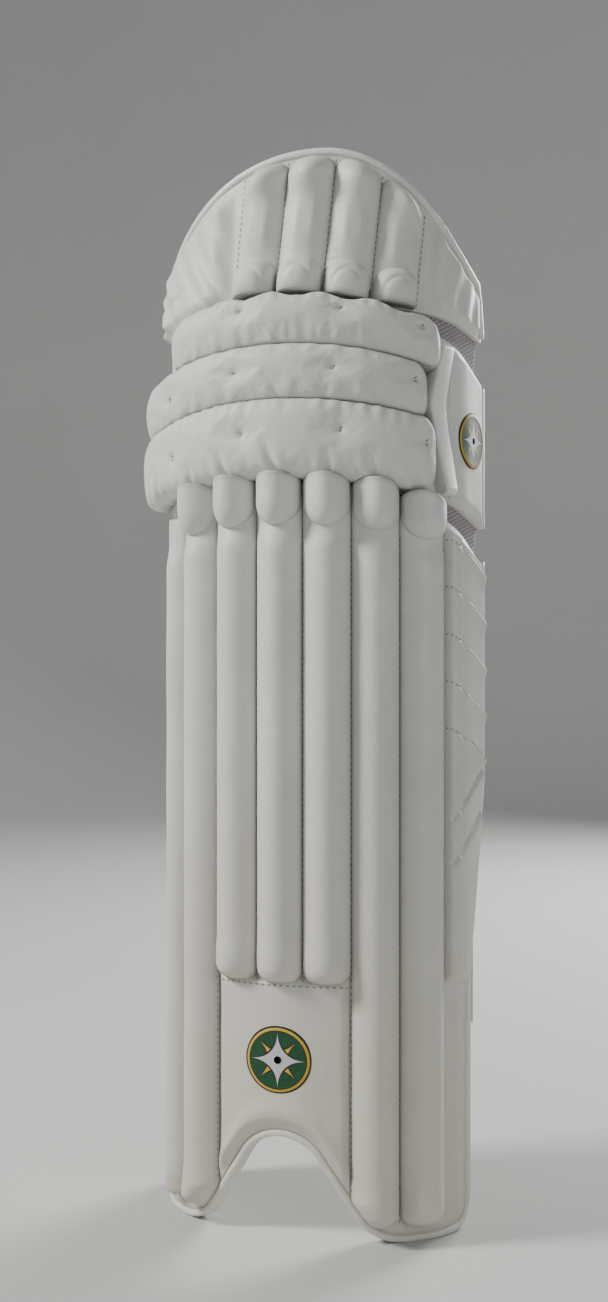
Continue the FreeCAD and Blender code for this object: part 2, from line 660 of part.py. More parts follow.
KNEE_WING_THICKNESS = 3.0
KNEE_WING_SPAN = (KNEE_FRAME_SPAN[1] + 1.0, S_EDGE - BINDING_WIDTH - 2.0)
knee_wing = band(OUTER_D, OUTER_D + KNEE_WING_THICKNESS, *KNEE_WING_SPAN)
knee_wing = knee_wing.common(slab(frame_low, seam(HAT_SEAM_Z, HAT_SEAM_SLOPE, -1.0)))
keep("knee_wing_panel", knee_wing)
WING_BADGE_MARGIN = 3.5
WING_BADGE_Z = KNEE_SEAM_Z + 28.0
badge_radius = (KNEE_WING_SPAN[1] - KNEE_WING_SPAN[0]) / 2 - WING_BADGE_MARGIN
badge_s = KNEE_WING_SPAN[1] - WING_BADGE_MARGIN + 1.5 - badge_radius
badge_d = OUTER_D + KNEE_WING_THICKNESS + LAYER_GAP
keep("wing_badge", badge(badge_s, WING_BADGE_Z, badge_radius, badge_d))

CUP_SPAN = 21.0
CUP_Z = (KNEE_SEAM_Z + 6.0, KNEE_SEAM_Z + 69.0)
cup_corners = [
    xz(-CUP_SPAN, CUP_Z[0]), xz(CUP_SPAN, CUP_Z[0]), xz(CUP_SPAN, CUP_Z[1]), xz(-CUP_SPAN, CUP_Z[1])
]
cup_outline = rounded(cup_corners, [3, 3, 20, 20])
cup = band(INNER_D - 3.0, INNER_D, -40, 40).common(front_prism(cup_outline))
keep("knee_cup_panel", cup)


def knee_pad_outline(side, inset):
    """Front outline of a knee bolster, highest at its inner corner."""
    inner, outer = KNEE_PAD_SPAN[0], 2 * NOSE_RADIUS
    points = [
        xz(side * (inner + 3 + inset), FAR),
        xz(side * (outer), FAR),
        xz(side * (outer), FAR * 2),
        xz(side * (inner - 3 + inset), FAR * 2),
    ]
    return rounded(points, [0, 0, 0, 0])


KNEE_PAD_TOP_DROP = 9.0


def knee_pad(side, inset):
    """One mesh bolster beside the knee, or its foam core."""
    low, high = KNEE_PAD_SPAN
    span = sorted((side * (low + inset), side * (high - inset)))
    solid = band(INNER_D - KNEE_PAD_RISE + inset, INNER_D - inset, *span)
    solid = solid.common(front_prism(knee_pad_outline(side, inset)))
    bottom = seam(KNEE_SEAM_Z, KNEE_SEAM_SLOPE, 2.0 + inset)
    top = seam(HAT_SEAM_Z - KNEE_PAD_TOP_DROP, HAT_SEAM_SLOPE, -inset)
    back_y = WING_BACK_Y - BINDING_WIDTH - 2 - inset
    back = Part.makeBox(2 * FAR, FAR, 2 * FAR, Vector(-FAR, back_y - FAR, 0))
    return solid.common(slab(bottom, top)).common(back)


def rounded_pad(solid, radius):
    """Rounds the edges of a knee bolster that face the leg."""
    d = INNER_D - KNEE_PAD_RISE
    inner = []
    for edge in solid.Edges:
        middle = edge.valueAt((edge.FirstParameter + edge.LastParameter) / 2)
        flat = Vector(middle.x, middle.y, 0)
        if min((flat - plan_point(s, d)).Length for s in samples) < 0.6:
            tangent = edge.tangentAt((edge.FirstParameter + edge.LastParameter) / 2)
            if abs(tangent.z) < 0.7:
                inner.append(edge)
    return solid.makeFillet(radius, inner)


pad_covers = []
pad_foams = []
for side in (1, -1):
    cover = rounded_pad(knee_pad(side, 0), 9.0)
    pad_covers.append(cover.cut(knee_pad(side, 5.0)))
    pad_foams.append(knee_pad(side, 5.0 + CORE_GAP))
keep("knee_side_pads", Part.makeCompound(pad_covers))
keep("knee_pad_foams", Part.makeCompound(pad_foams))

# ---- top hat ------------------------------------------------------------------------------------
hat_inside = hat_space(BINDING_WIDTH + 1.5)
hat_canes = []
hat_bulbs = []
for i in range(HAT_CANE_COUNT):
    s0, s1 = cane_span(i, HAT_CANE_START_S, HAT_CANE_PITCH)
    middle = (s0 + s1) / 2
    drop = plan_point(middle, 0).y * math.tan(math.radians(HAT_SEAM_SLOPE))
    bulb_top = HAT_SEAM_Z + HAT_BULB_HEIGHT - drop
    face = roll_face(s0, s1, OUTER_D, HAT_CANE_RISE, CANE_LIP)
    slot = upright_slot(middle, 0, s1 - s0 + 4, bulb_top + LAYER_GAP - 40, TOTAL_HEIGHT, 9.0)
    body = raised(face, bulb_top + LAYER_GAP, TOTAL_HEIGHT).common(slot).common(hat_inside)
    hat_canes.append(body)
    bulb_face = roll_face(s0, s1, OUTER_D, HAT_CANE_RISE + 2.0, CANE_LIP)
    hat_bulbs.append(raised(bulb_face, HAT_SEAM_Z - 80, bulb_top).common(ZONES["hat"][0]))
keep("hat_canes", Part.makeCompound(hat_canes), "hat")
keep("hat_cane_bulbs", Part.makeCompound(hat_bulbs), "hat")

HAT_BADGE = (0.0, HAT_SEAM_Z + 44.0, 33.0)
keep("crest_badge", badge(*HAT_BADGE, INNER_D - BADGE_THICKNESS), "hat")

# ---- soft gussets across the two bends ----------------------------------------------------------
GUSSET_START_S = 60.0
GUSSET_GAP = 0.3


def gusset(low, high, back_inset):
    parts = []
    for side in (1, -1):
        span = sorted((side * GUSSET_START_S, side * (S_EDGE - back_inset)))
        parts.append(band(-BOARD_THICKNESS, 0, *span).common(slab(low, high)))
    return Part.makeCompound(parts)


knee_gusset_low = [(y, z + GUSSET_GAP) for y, z in shin_top]
keep("knee_bend_gussets", gusset(knee_gusset_low, seam(KNEE_SEAM_Z, KNEE_SEAM_SLOPE, -GUSSET_GAP), 2.0))
tilted_hat_bottom = bent_seam(HAT_SEAM_Z + BEND_GAP, HAT_SEAM_SLOPE, HAT_SEAM_SLOPE - HAT_WEDGE)
hat_gusset_high = [(y, z - GUSSET_GAP - 0.6) for y, z in tilted_hat_bottom]
keep("hat_bend_gussets", gusset(seam(HAT_SEAM_Z, HAT_SEAM_SLOPE, GUSSET_GAP), hat_gusset_high, 2.0))

# ---- straps -------------------------------------------------------------------------------------
STRAP_Y = WING_BACK_Y + STRAP_STANDOFF
PATCH_OUTER_X = plan_point(S_EDGE, OUTER_D).x + 1.0
RING_BAR_X = RING_INSET - PATCH_OUTER_X
BOTTOM_PATCH_TURN = 17.0      # the bottom patch turns forwards to the wing before the others end
PATCH_EDGE_GAP = 0.4
PATCH_FACE_Y = STRAP_Y + RING_WIRE_RADIUS + RING_RUNNING_CLEARANCE - HOOK_THICKNESS - 0.3


def plate(x0, x1, y0, y1, z0, z1):
    return Part.makeBox(x1 - x0, y1 - y0, z1 - z0, Vector(x0, y0, z0))


def bar(x, z0, z1, radius):
    return Part.makeCylinder(radius, z1 - z0, Vector(x, STRAP_Y, z0), Vector(0, 0, 1))


def ring(z0, z1):
    """Moulded rectangular ring of round bar."""
    x0, x1 = RING_BAR_X, RING_BAR_X + RING_PITCH
    shape = bar(x0, z0, z1, RING_WIRE_RADIUS)
    others = [bar(x1, z0, z1, RING_WIRE_RADIUS)]
    for z in (z0, z1):
        start = Vector(x0, STRAP_Y, z)
        others.append(Part.makeCylinder(RING_WIRE_RADIUS, RING_PITCH, start, Vector(1, 0, 0)))
        others += [Part.makeSphere(RING_WIRE_RADIUS, Vector(x, STRAP_Y, z)) for x in (x0, x1)]
    return shape.multiFuse(others).removeSplitter()


def webbing_eye(x, direction, z0, z1):
    """The sewn end of a strap round a ring bar, tapering into one flat layer behind the bar."""
    hole = RING_WIRE_RADIUS + RING_RUNNING_CLEARANCE
    outer = hole + WEBBING_THICKNESS
    face_y = STRAP_Y + outer
    taper = x + direction * 16.0
    lean = [
        Vector(x, STRAP_Y - outer, z0),
        Vector(taper, face_y - WEBBING_THICKNESS, z0),
        Vector(taper, face_y, z0),
        Vector(x, face_y, z0),
    ]
    wedge = Part.Face(Part.makePolygon(lean + [lean[0]])).extrude(Vector(0, 0, z1 - z0))
    return bar(x, z0, z1, outer).fuse(wedge).cut(bar(x, z0 - 1, z1 + 1, hole))


STRAP_FACE_Y = STRAP_Y + RING_WIRE_RADIUS + RING_RUNNING_CLEARANCE
STRAP_BACK_Y = STRAP_FACE_Y + WEBBING_THICKNESS
for name, (z, width, tab_inset, tab_length, patch_width, patch_inset) in STRAPS.items():
    low, high = z - width / 2, z + width / 2
    tab_x, patch_x = PATCH_OUTER_X - tab_inset, PATCH_OUTER_X - patch_inset
    strap_x = RING_BAR_X + RING_PITCH
    keep(name + "_ring", ring(low - RING_END_ROOM, high + RING_END_ROOM))
    keeper = webbing_eye(RING_BAR_X, -1, low + 1, high - 1)
    outer_x = -PATCH_OUTER_X
    flat = plate(outer_x, RING_BAR_X - 15, STRAP_FACE_Y, STRAP_BACK_Y, low + 1, high - 1)
    anchor = plate(outer_x, outer_x + 9, WING_BACK_Y + 0.8, STRAP_FACE_Y, low + 1, high - 1)
    keep(name + "_ring_keeper", keeper.multiFuse([flat, anchor]).removeSplitter())
    strap = webbing_eye(strap_x, 1, low, high)
    long_run = plate(strap_x + 15, tab_x - STRAP_TAB_GAP, STRAP_FACE_Y, STRAP_BACK_Y, low, high)
    keep(name + "_strap", strap.fuse(long_run).removeSplitter())
    nose = min(width * 0.46, tab_length * 0.9)
    corners = [xz(tab_x, low), xz(tab_x + tab_length, low), xz(tab_x + tab_length, high), xz(tab_x, high)]
    outline = front_prism(rounded(corners, [0, nose, nose, 0]))
    tab = plate(tab_x, tab_x + tab_length, STRAP_FACE_Y, STRAP_BACK_Y + 0.6, low, high).common(outline)
    keep(name + "_strap_tab", tab)
    inner = [xz(tab_x + 2, low + 3), xz(tab_x + tab_length - 3, low + 3),
             xz(tab_x + tab_length - 3, high - 3), xz(tab_x + 2, high - 3)]
    hook_outline = front_prism(rounded(inner, [0, nose - 4, nose - 4, 0]))
    hook_x = (tab_x + 2, tab_x + tab_length - 3)
    hook = plate(*hook_x, STRAP_FACE_Y - HOOK_THICKNESS, STRAP_FACE_Y, low + 3, high - 3)
    keep(name + "_hook_tape", hook.common(hook_outline))
    patch_low, patch_high = z - patch_width / 2, z + patch_width / 2
    end_x = PATCH_OUTER_X - (BOTTOM_PATCH_TURN if name == "bottom" else 0)
    patch = plate(patch_x, end_x, PATCH_FACE_Y - TAPE_THICKNESS, PATCH_FACE_Y, patch_low, patch_high)
    if name == "bottom":
        turn = Vector(end_x, PATCH_FACE_Y, patch_low)
        foot = plan_point(S_EDGE - 40.0, -2.0) + Vector(0, 0, patch_low)
        thick = Vector(-TAPE_THICKNESS, 0, 0)
        outline = Part.makePolygon([turn, foot, foot + thick, turn + thick, turn])
        leg = Part.Face(outline).extrude(Vector(0, 0, patch_width))
        wing = side_prism(wing_outline(WING_BACK_Y, OUTER_FOOT_BACK_Y, -PATCH_EDGE_GAP), 0, FAR)
        patch = patch.fuse(leg.cut(wing)).removeSplitter()
    keep(name + "_loop_patch", patch)

LABEL_THICKNESS = 0.8
LABEL_LENGTH = 75.0
label_z, label_width = STRAPS["middle"][0], STRAPS["middle"][1]
label_low, label_high = label_z - label_width / 2 + 6, label_z + label_width / 2 - 6
label_end = PATCH_OUTER_X - STRAPS["middle"][2] - STRAP_TAB_GAP - 0.6
label_start = label_end - LABEL_LENGTH
label_points = [
    xz(label_start + 6, label_low + 20), xz(label_end, label_low),
    xz(label_end, label_high), xz(label_start, label_high),
]
label = plate(label_start - 4, label_end, STRAP_BACK_Y, STRAP_BACK_Y + LABEL_THICKNESS, label_low, label_high)
keep("middle_strap_label", label.common(front_prism(rounded(label_points, [6, 2, 2, 3]))))

# ---- export -------------------------------------------------------------------------------------
middle = Part.makeCompound(list(made.values())).BoundBox.Center
to_frame = Vector(-middle.x, -middle.y, 0)
os.makedirs("parts", exist_ok=True)
for name, shape in made.items():
    shape.translate(to_frame)
    shape.exportStep("parts/%s.step" % name)
print(len(made), "nodes, moved by", to_frame)
for name, shape in made.items():
    ok = shape.isValid() and shape.Volume > 1 and all(s.isClosed() for s in shape.Solids)
    if not ok:
        print("CHECK", name, shape.isValid(), round(shape.Volume, 1), len(shape.Solids))
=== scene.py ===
import math

import bpy
import numpy as np
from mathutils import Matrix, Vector


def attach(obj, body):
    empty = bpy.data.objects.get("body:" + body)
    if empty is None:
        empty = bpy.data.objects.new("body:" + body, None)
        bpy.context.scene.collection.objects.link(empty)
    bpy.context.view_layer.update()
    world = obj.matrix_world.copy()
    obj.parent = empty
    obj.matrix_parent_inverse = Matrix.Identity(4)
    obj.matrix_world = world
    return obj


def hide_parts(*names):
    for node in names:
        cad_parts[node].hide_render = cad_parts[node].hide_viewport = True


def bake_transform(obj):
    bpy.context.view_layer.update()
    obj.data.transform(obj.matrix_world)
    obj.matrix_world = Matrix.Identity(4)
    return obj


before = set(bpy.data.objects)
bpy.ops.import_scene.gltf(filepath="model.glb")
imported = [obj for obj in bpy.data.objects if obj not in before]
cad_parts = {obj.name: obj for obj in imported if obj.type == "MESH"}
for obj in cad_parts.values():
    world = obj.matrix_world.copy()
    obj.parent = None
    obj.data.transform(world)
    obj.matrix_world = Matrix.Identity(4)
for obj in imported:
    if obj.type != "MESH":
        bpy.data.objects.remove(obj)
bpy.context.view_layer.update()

# ---- studio ----------------------------------------------------------------
# The pad stands on a round pale floor that sweeps up at its rim. A lamp high on the left models the
# rolls, a weaker one on the right and the room's own light keep the hollows open.


class Field:
    """A value that varies over a surface. Arithmetic on it adds the finish's own maths nodes."""

    def __init__(self, finish, socket):
        self.finish = finish
        self.socket = socket

    def calc(self, operation, *others, clamp=False):
        values = {i: v for i, v in enumerate((self, *others))}
        return self.finish.node("ShaderNodeMath", {"operation": operation, "use_clamp": clamp}, values)

    def __add__(self, other):
        return self.calc("ADD", other)

    def __radd__(self, other):
        return self.calc("ADD", other)

    def __sub__(self, other):
        return self.calc("SUBTRACT", other)

    def __rsub__(self, other):
        return (self * -1.0).calc("ADD", other)

    def __mul__(self, other):
        return self.calc("MULTIPLY", other)

    def __rmul__(self, other):
        return self.calc("MULTIPLY", other)

    def __truediv__(self, other):
        return self.calc("DIVIDE", other)

    def __pow__(self, other):
        return self.calc("POWER", other)

    def size(self):
        return self.calc("ABSOLUTE")

    def wave(self):
        return self.calc("SINE")

    def part(self):
        """What is left after the whole number, from 0 to 1."""
        return self.calc("FRACT")

    def lesser(self, other):
        return self.calc("MINIMUM", other)

    def greater(self, other):
        return self.calc("MAXIMUM", other)

    def step(self, low, high):
        """0 below low, 1 above high, and smooth between them."""
        kind = {"interpolation_type": "SMOOTHSTEP"}
        values = {"Value": self, "From Min": low, "From Max": high}
        return self.finish.node("ShaderNodeMapRange", kind, values)


class Finish:
    """One material: its surface shader and the nodes that feed it."""

    def __init__(self, name, roughness=0.5, **fixed):
        self.material = bpy.data.materials.new(name)
        self.material.use_nodes = True
        self.tree = self.material.node_tree
        self.surface = self.tree.nodes["Principled BSDF"]
        self.surface.inputs["Roughness"].default_value = roughness
        for socket, value in fixed.items():
            self.surface.inputs[socket.replace("_", " ")].default_value = value

    def node(self, kind, settings=None, values=None, output=0):
        """Adds a node, sets it up, feeds it, and gives back one of its outputs."""
        made = self.tree.nodes.new(kind)
        for name, value in (settings or {}).items():
            setattr(made, name, value)
        for name, value in (values or {}).items():
            if isinstance(value, Field):
                self.tree.links.new(value.socket, made.inputs[name])
            else:
                made.inputs[name].default_value = value
        return Field(self, made.outputs[output])

    def place(self):
        """Where the point is on the object, in metres."""
        return self.node("ShaderNodeTexCoord", output="Object")

    def cloth(self):
        """Where the point is on the unrolled piece, in millimetres across and along."""
        spot = self.node("ShaderNodeUVMap", {"uv_map": "cloth"})
        return (
            self.node("ShaderNodeSeparateXYZ", values={0: spot}, output="X") * 1000.0,
            self.node("ShaderNodeSeparateXYZ", values={0: spot}, output="Y") * 1000.0,
        )

    def rim(self):
        """Distance, in mm, from the nearest seam at the piece's own edge."""
        return self.node("ShaderNodeAttribute", {"attribute_name": "rim"}, output=2) * 1000.0

    def noise(self, scale, detail=3.0, roughness=0.5, at=None):
        values = {"Vector": at or self.place(), "Scale": scale, "Detail": detail, "Roughness": roughness}
        return self.node("ShaderNodeTexNoise", values=values, output="Fac")

    def cells(self, scale):
        values = {"Vector": self.place(), "Scale": scale}
        return self.node("ShaderNodeTexVoronoi", {"feature": "F1"}, values, output="Distance")

    def blend(self, share, first, second):
        """First where share is 0 and second where it is 1."""
        values = {0: share, 6: first, 7: second}
        return self.node("ShaderNodeMix", {"data_type": "RGBA"}, values, output=2)

    def feed(self, socket, value):
        self.tree.links.new(value.socket, self.surface.inputs[socket])
        return self

    def relief(self, height, depth, strength=1.0, over=None):
        """A height in millimetres, scaled by depth, bumps the surface."""
        values = {"Height": height, "Distance": depth * 0.001, "Strength": strength}
        if over is not None:
            values["Normal"] = over
        return self.node("ShaderNodeBump", values=values)


def tint(red, green, blue):
    return (red, green, blue, 1.0)


def put(name, data):
    """Adds a mesh, a lamp or a camera to the scene."""
    made = bpy.data.objects.new(name, data)
    bpy.context.scene.collection.objects.link(made)
    return made


FLOOR_TONE = tint(0.50, 0.50, 0.495)
FLOOR_RADIUS = 2.6
FLOOR_BEND = 1.0
FLOOR_TOP = 3.0
FLOOR_SIDES = 96
BEND_STEPS = 16
profile = [(0.0, 0.0), (FLOOR_RADIUS, 0.0)]
for i in range(1, BEND_STEPS + 1):
    turn = math.radians(90 * i / BEND_STEPS)
    profile.append((FLOOR_RADIUS + FLOOR_BEND * math.sin(turn), FLOOR_BEND * (1 - math.cos(turn))))
profile.append((FLOOR_RADIUS + FLOOR_BEND, FLOOR_TOP))
floor_points = [(0.0, 0.0, 0.0)]
for reach, height in profile[1:]:
    for j in range(FLOOR_SIDES):
        turn = 2 * math.pi * j / FLOOR_SIDES
        floor_points.append((reach * math.cos(turn), reach * math.sin(turn), height))
floor_faces = [(0, 1 + j, 1 + (j + 1) % FLOOR_SIDES) for j in range(FLOOR_SIDES)]
for i in range(len(profile) - 2):
    first = 1 + i * FLOOR_SIDES
    for j in range(FLOOR_SIDES):
        k = (j + 1) % FLOOR_SIDES
        floor_faces.append((first + j, first + FLOOR_SIDES + j, first + FLOOR_SIDES + k, first + k))
floor_mesh = bpy.data.meshes.new("studio_floor")
floor_mesh.from_pydata(floor_points, [], floor_faces)
floor_mesh.shade_smooth()
floor = put("studio_floor", floor_mesh)
paper = Finish("backdrop_paper", roughness=0.85)
paper_tone = paper.blend(paper.noise(2.0, 2.0), FLOOR_TONE, tint(0.54, 0.54, 0.535))
paper.feed("Base Color", paper_tone)
paper.feed("Normal", paper.relief(paper.noise(900.0, 2.0), 0.05))
floor_mesh.materials.append(paper.material)

VIEW_TURN = math.radians(20.0)
VIEW_DISTANCE = 1.065
VIEW_HEIGHT = 0.372
VIEW_MIDDLE = 0.006
camera = put("camera", bpy.data.cameras.new("camera"))
camera.data.lens = 45.0
camera.location = (
    VIEW_MIDDLE + VIEW_DISTANCE * math.sin(VIEW_TURN),
    -VIEW_DISTANCE * math.cos(VIEW_TURN),
    VIEW_HEIGHT,
)
camera.rotation_euler = (math.radians(90.0), 0.0, VIEW_TURN)
camera.data.clip_start = 0.01
bpy.context.scene.camera = camera


def lamp(name, place, aim, width, height, power, tone=(1.0, 1.0, 1.0)):
    """A rectangular soft box at place, turned to aim."""
    data = bpy.data.lights.new(name, "AREA")
    data.shape = "RECTANGLE"
    data.size = width
    data.size_y = height
    data.energy = power
    data.color = tone
    made = put(name, data)
    made.location = place
    made.rotation_euler = (Vector(aim) - Vector(place)).to_track_quat("-Z", "Y").to_euler()


lamp("key_box", (-1.55, -0.95, 1.65), (0, 0, 0.36), 0.45, 0.6, 62, (1.0, 0.985, 0.96))
lamp("fill_box", (1.5, -1.3, 1.0), (0, 0, 0.35), 1.0, 1.2, 7, (0.97, 0.985, 1.0))
lamp("back_box", (0.55, 1.9, 1.15), (0, 0, 0.36), 0.9, 0.9, 56, (1.0, 0.99, 0.97))
room = bpy.data.worlds.new("room")
room.use_nodes = True
room.node_tree.nodes["Background"].inputs["Color"].default_value = tint(0.93, 0.95, 1.0)
room.node_tree.nodes["Background"].inputs["Strength"].default_value = 0.26
bpy.context.scene.world = room

# ---- front facing of the shin, knee and top hat ----------------------------
# One skin of soft-grained white PU leather is glued over the foam board of each section. It follows
# the gutter that the pad makes round the leg, and every roll and panel is sewn on to it.

# In plan the pad is a wide nose, a tighter cheek at each side and two straight wings. All in mm.
NOSE_X = 4.924
NOSE_Y = -39.688
NOSE_RADIUS = 125.0
NOSE_ANGLE = 42.0
CHEEK_RADIUS = 55.0
CHEEK_ANGLE = 40.0
WING_LENGTH = 32.0
S_NOSE = NOSE_RADIUS * math.radians(NOSE_ANGLE)
S_CHEEK = S_NOSE + CHEEK_RADIUS * math.radians(CHEEK_ANGLE)
S_EDGE = S_CHEEK + WING_LENGTH
OUTER_D = 1.2
INNER_D = -7.2
# The seams between the sections: their heights at the nose and how steeply they fall towards the back.
BEND_Y = 5.0
SHIN_TOP = 478.5
KNEE_FOOT = 480.0
KNEE_TOP = 590.0
HAT_FOOT = 591.5
SHIN_SLOPE = 28.5
KNEE_SLOPE = 16.0
HAT_SLOPE = 24.0
HAT_BACK_SLOPE = 3.5
HAT_BEND_Z = 588.524
HAT_LEAN = math.radians(5.0)
# The top hat's arched edge: where it springs from, its crown off to one side, and its fall at the cheeks.
HAT_SPRING = 575.0
HAT_MIDDLE = 26.0
HAT_INNER_HALF = 138.0
HAT_OUTER_HALF = 86.0
HAT_ARCH = 115.0
HAT_FALL = 90.0
FALL_START = 30.0
FALL_REACH = 67.0
# The shin's lower edge: the instep arch, the round heels and the outer wing's taper.
ARCH_CROWN = 66.0
CROWN_RADIUS = 28.0
ANKLE_RADIUS = 32.0
ARCH_SLOPE = math.radians(57.0)
HEEL_RADIUS = 22.0
INNER_BACK = 97.0
OUTER_BACK = 73.0
TAPER_FOOT = 165.0
TAPER_RISE = 5.0


def place(s, z, d):
    """Points of the pad, in metres: s along the plan line from the nose, z up and d outwards, in mm."""
    s, z, d = np.broadcast_arrays(*(np.asarray(a, float) for a in (s, z, d)))
    run = np.abs(s)
    nose = np.minimum(run, S_NOSE) / NOSE_RADIUS
    turn = nose + np.clip(run - S_NOSE, 0, S_CHEEK - S_NOSE) / CHEEK_RADIUS
    past = np.maximum(run - S_CHEEK, 0)
    core = NOSE_RADIUS - CHEEK_RADIUS
    x = core * np.sin(nose) + (CHEEK_RADIUS + d) * np.sin(turn) + past * np.cos(turn)
    y = NOSE_RADIUS - core * np.cos(nose) - (CHEEK_RADIUS + d) * np.cos(turn) + past * np.sin(turn)
    return np.stack([np.sign(s + 1e-9) * x + NOSE_X, y + NOSE_Y, z], -1) * 0.001


def depth(s, d=0.0):
    """Distance back from the nose, in mm."""
    return place(s, 0.0, d)[..., 1] * 1000.0 - NOSE_Y


def across(s, d=0.0):
    """Distance sideways from the nose, in mm."""
    return place(s, 0.0, d)[..., 0] * 1000.0 - NOSE_X


def lean(points):
    """Tips points of the top hat back about its soft hinge."""
    y = points[..., 1] - (BEND_Y + NOSE_Y) * 0.001
    z = points[..., 2] - HAT_BEND_Z * 0.001
    turned = points.copy()
    turned[..., 1] += y * (math.cos(HAT_LEAN) - 1) + z * math.sin(HAT_LEAN)
    turned[..., 2] += z * (math.cos(HAT_LEAN) - 1) - y * math.sin(HAT_LEAN)
    return turned


def smooth(value, low, high):
    t = np.clip((np.asarray(value, float) - low) / (high - low), 0, 1)
    return t * t * (3 - 2 * t)


def drop(y, slope):
    return y * math.tan(math.radians(slope))


def shin_high(s, d=0.0):
    y = depth(s, d)
    return SHIN_TOP - drop(np.minimum(y, BEND_Y), KNEE_SLOPE) - drop(np.maximum(y - BEND_Y, 0), SHIN_SLOPE)


def knee_low(s, d=0.0):
    return KNEE_FOOT - drop(depth(s, d), KNEE_SLOPE)


def knee_high(s, d=0.0):
    return KNEE_TOP - drop(depth(s, d), HAT_SLOPE)


def hat_low(s, d=0.0):
    y = depth(s, d)
    past = np.maximum(y - BEND_Y, 0)
    return HAT_FOOT - drop(np.minimum(y, BEND_Y), HAT_SLOPE) - drop(past, HAT_BACK_SLOPE)


def hat_high(s, inset=0.0):
    """Top edge of the top hat before it leans: an off-centre arch that falls away at the sides."""
    x = across(s)
    y = depth(s)
    half = np.where(x < HAT_MIDDLE, HAT_INNER_HALF, HAT_OUTER_HALF) - inset
    arch = np.sqrt(np.clip(1 - ((x - HAT_MIDDLE) / half) ** 2, 0, 1)) * (HAT_ARCH - inset)
    past = np.maximum(y - FALL_START, 0) / (FALL_REACH - inset)
    fall = np.sqrt(np.clip(1 - past**2, 0, 1)) * (HAT_FALL - inset)
    return HAT_SPRING + np.minimum(arch, np.where(y > FALL_START, fall, np.inf))


def arch_height(x, inset=0.0):
    """Height of the instep arch above the floor at a distance x from the middle."""
    x = np.abs(x)
    top, foot = CROWN_RADIUS + inset, ANKLE_RADIUS - inset
    shoulder = (top * math.sin(ARCH_SLOPE), ARCH_CROWN + inset - top * (1 - math.cos(ARCH_SLOPE)))
    ankle_z = inset + foot * (1 - math.cos(ARCH_SLOPE))
    ankle_x = shoulder[0] + (shoulder[1] - ankle_z) / math.tan(ARCH_SLOPE)
    toe_x = ankle_x + foot * math.sin(ARCH_SLOPE)
    crown = ARCH_CROWN + inset - top + np.sqrt(np.clip(top**2 - x**2, 0, None))
    line = shoulder[1] - (x - shoulder[0]) * math.tan(ARCH_SLOPE)
    curl = inset + foot - np.sqrt(np.clip(foot**2 - (toe_x - x) ** 2, 0, None))
    result = np.where(x < shoulder[0], crown, np.where(x < ankle_x, line, curl))
    return np.where(x > toe_x, inset, result)


def shin_low(s, inset=0.0):
    """Lower edge of the shin section: the arch, the two round heels and the outer wing's taper."""
    y = depth(s)
    radius = HEEL_RADIUS - inset
    back = np.where(s > 0, OUTER_BACK, INNER_BACK) - inset
    heel = np.clip(y - (back - radius), 0, radius)
    low = np.maximum(arch_height(across(s), inset), inset + radius - np.sqrt(radius**2 - heel**2))
    taper = TAPER_FOOT + (y - back) * TAPER_RISE
    return np.where((s > 0) & (y > back), taper, low)


def grid_object(name, outer, inner, cloth=None, flip=False):
    """A closed skin from a grid of outer points, the grid behind it and the rim between them."""
    rows, cols = outer.shape[:2]
    count = rows * cols
    points = np.concatenate([outer.reshape(-1, 3), inner.reshape(-1, 3)])
    index = np.arange(count).reshape(rows, cols)
    a, b, c, d = index[:-1, :-1], index[:-1, 1:], index[1:, 1:], index[1:, :-1]
    front = np.stack([a, b, c, d], -1).reshape(-1, 4)
    back = np.stack([a, d, c, b], -1).reshape(-1, 4) + count
    edge = np.concatenate([index[0, :-1], index[:-1, -1], index[-1, :0:-1], index[:0:-1, 0]])
    after = np.roll(edge, -1)
    rim = np.stack([edge, edge + count, after + count, after], -1)
    faces = np.concatenate([front, back, rim])
    if flip:
        faces = faces[:, ::-1]
    mesh = bpy.data.meshes.new(name)
    mesh.vertices.add(len(points))
    mesh.vertices.foreach_set("co", points.astype(np.float32).ravel())
    mesh.loops.add(faces.size)
    mesh.loops.foreach_set("vertex_index", faces.astype(np.int32).ravel())
    mesh.polygons.add(len(faces))
    mesh.polygons.foreach_set("loop_start", np.arange(0, faces.size, 4, dtype=np.int32))
    mesh.update(calc_edges=True)
    if cloth is not None:
        spots = np.tile(cloth.reshape(-1, 2) * 0.001, (2, 1))[faces.ravel()]
        layer = mesh.uv_layers.new(name="cloth")
        layer.data.foreach_set("uv", spots.astype(np.float32).ravel())
    down = np.linalg.norm(np.diff(outer, axis=0, prepend=outer[:1]), axis=-1).cumsum(axis=0)
    over = np.linalg.norm(np.diff(outer, axis=1, prepend=outer[:, :1]), axis=-1).cumsum(axis=1)
    away = np.minimum.reduce([down, down[-1:] - down, over, over[:, -1:] - over])
    mesh.attributes.new("rim", "FLOAT", "POINT").data.foreach_set(
        "value", np.concatenate([away.ravel(), 0 * away.ravel()]).astype(np.float32)
    )
    mesh.shade_smooth()
    return put(name, mesh)


def sew(piece, body, finish, stands_for=()):
    """Gives a finished piece its material and fixes it to the body that it moves with."""
    if not piece.data.materials:
        piece.data.materials.append(finish.material)
    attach(piece, body)
    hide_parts(*stands_for)
    return piece


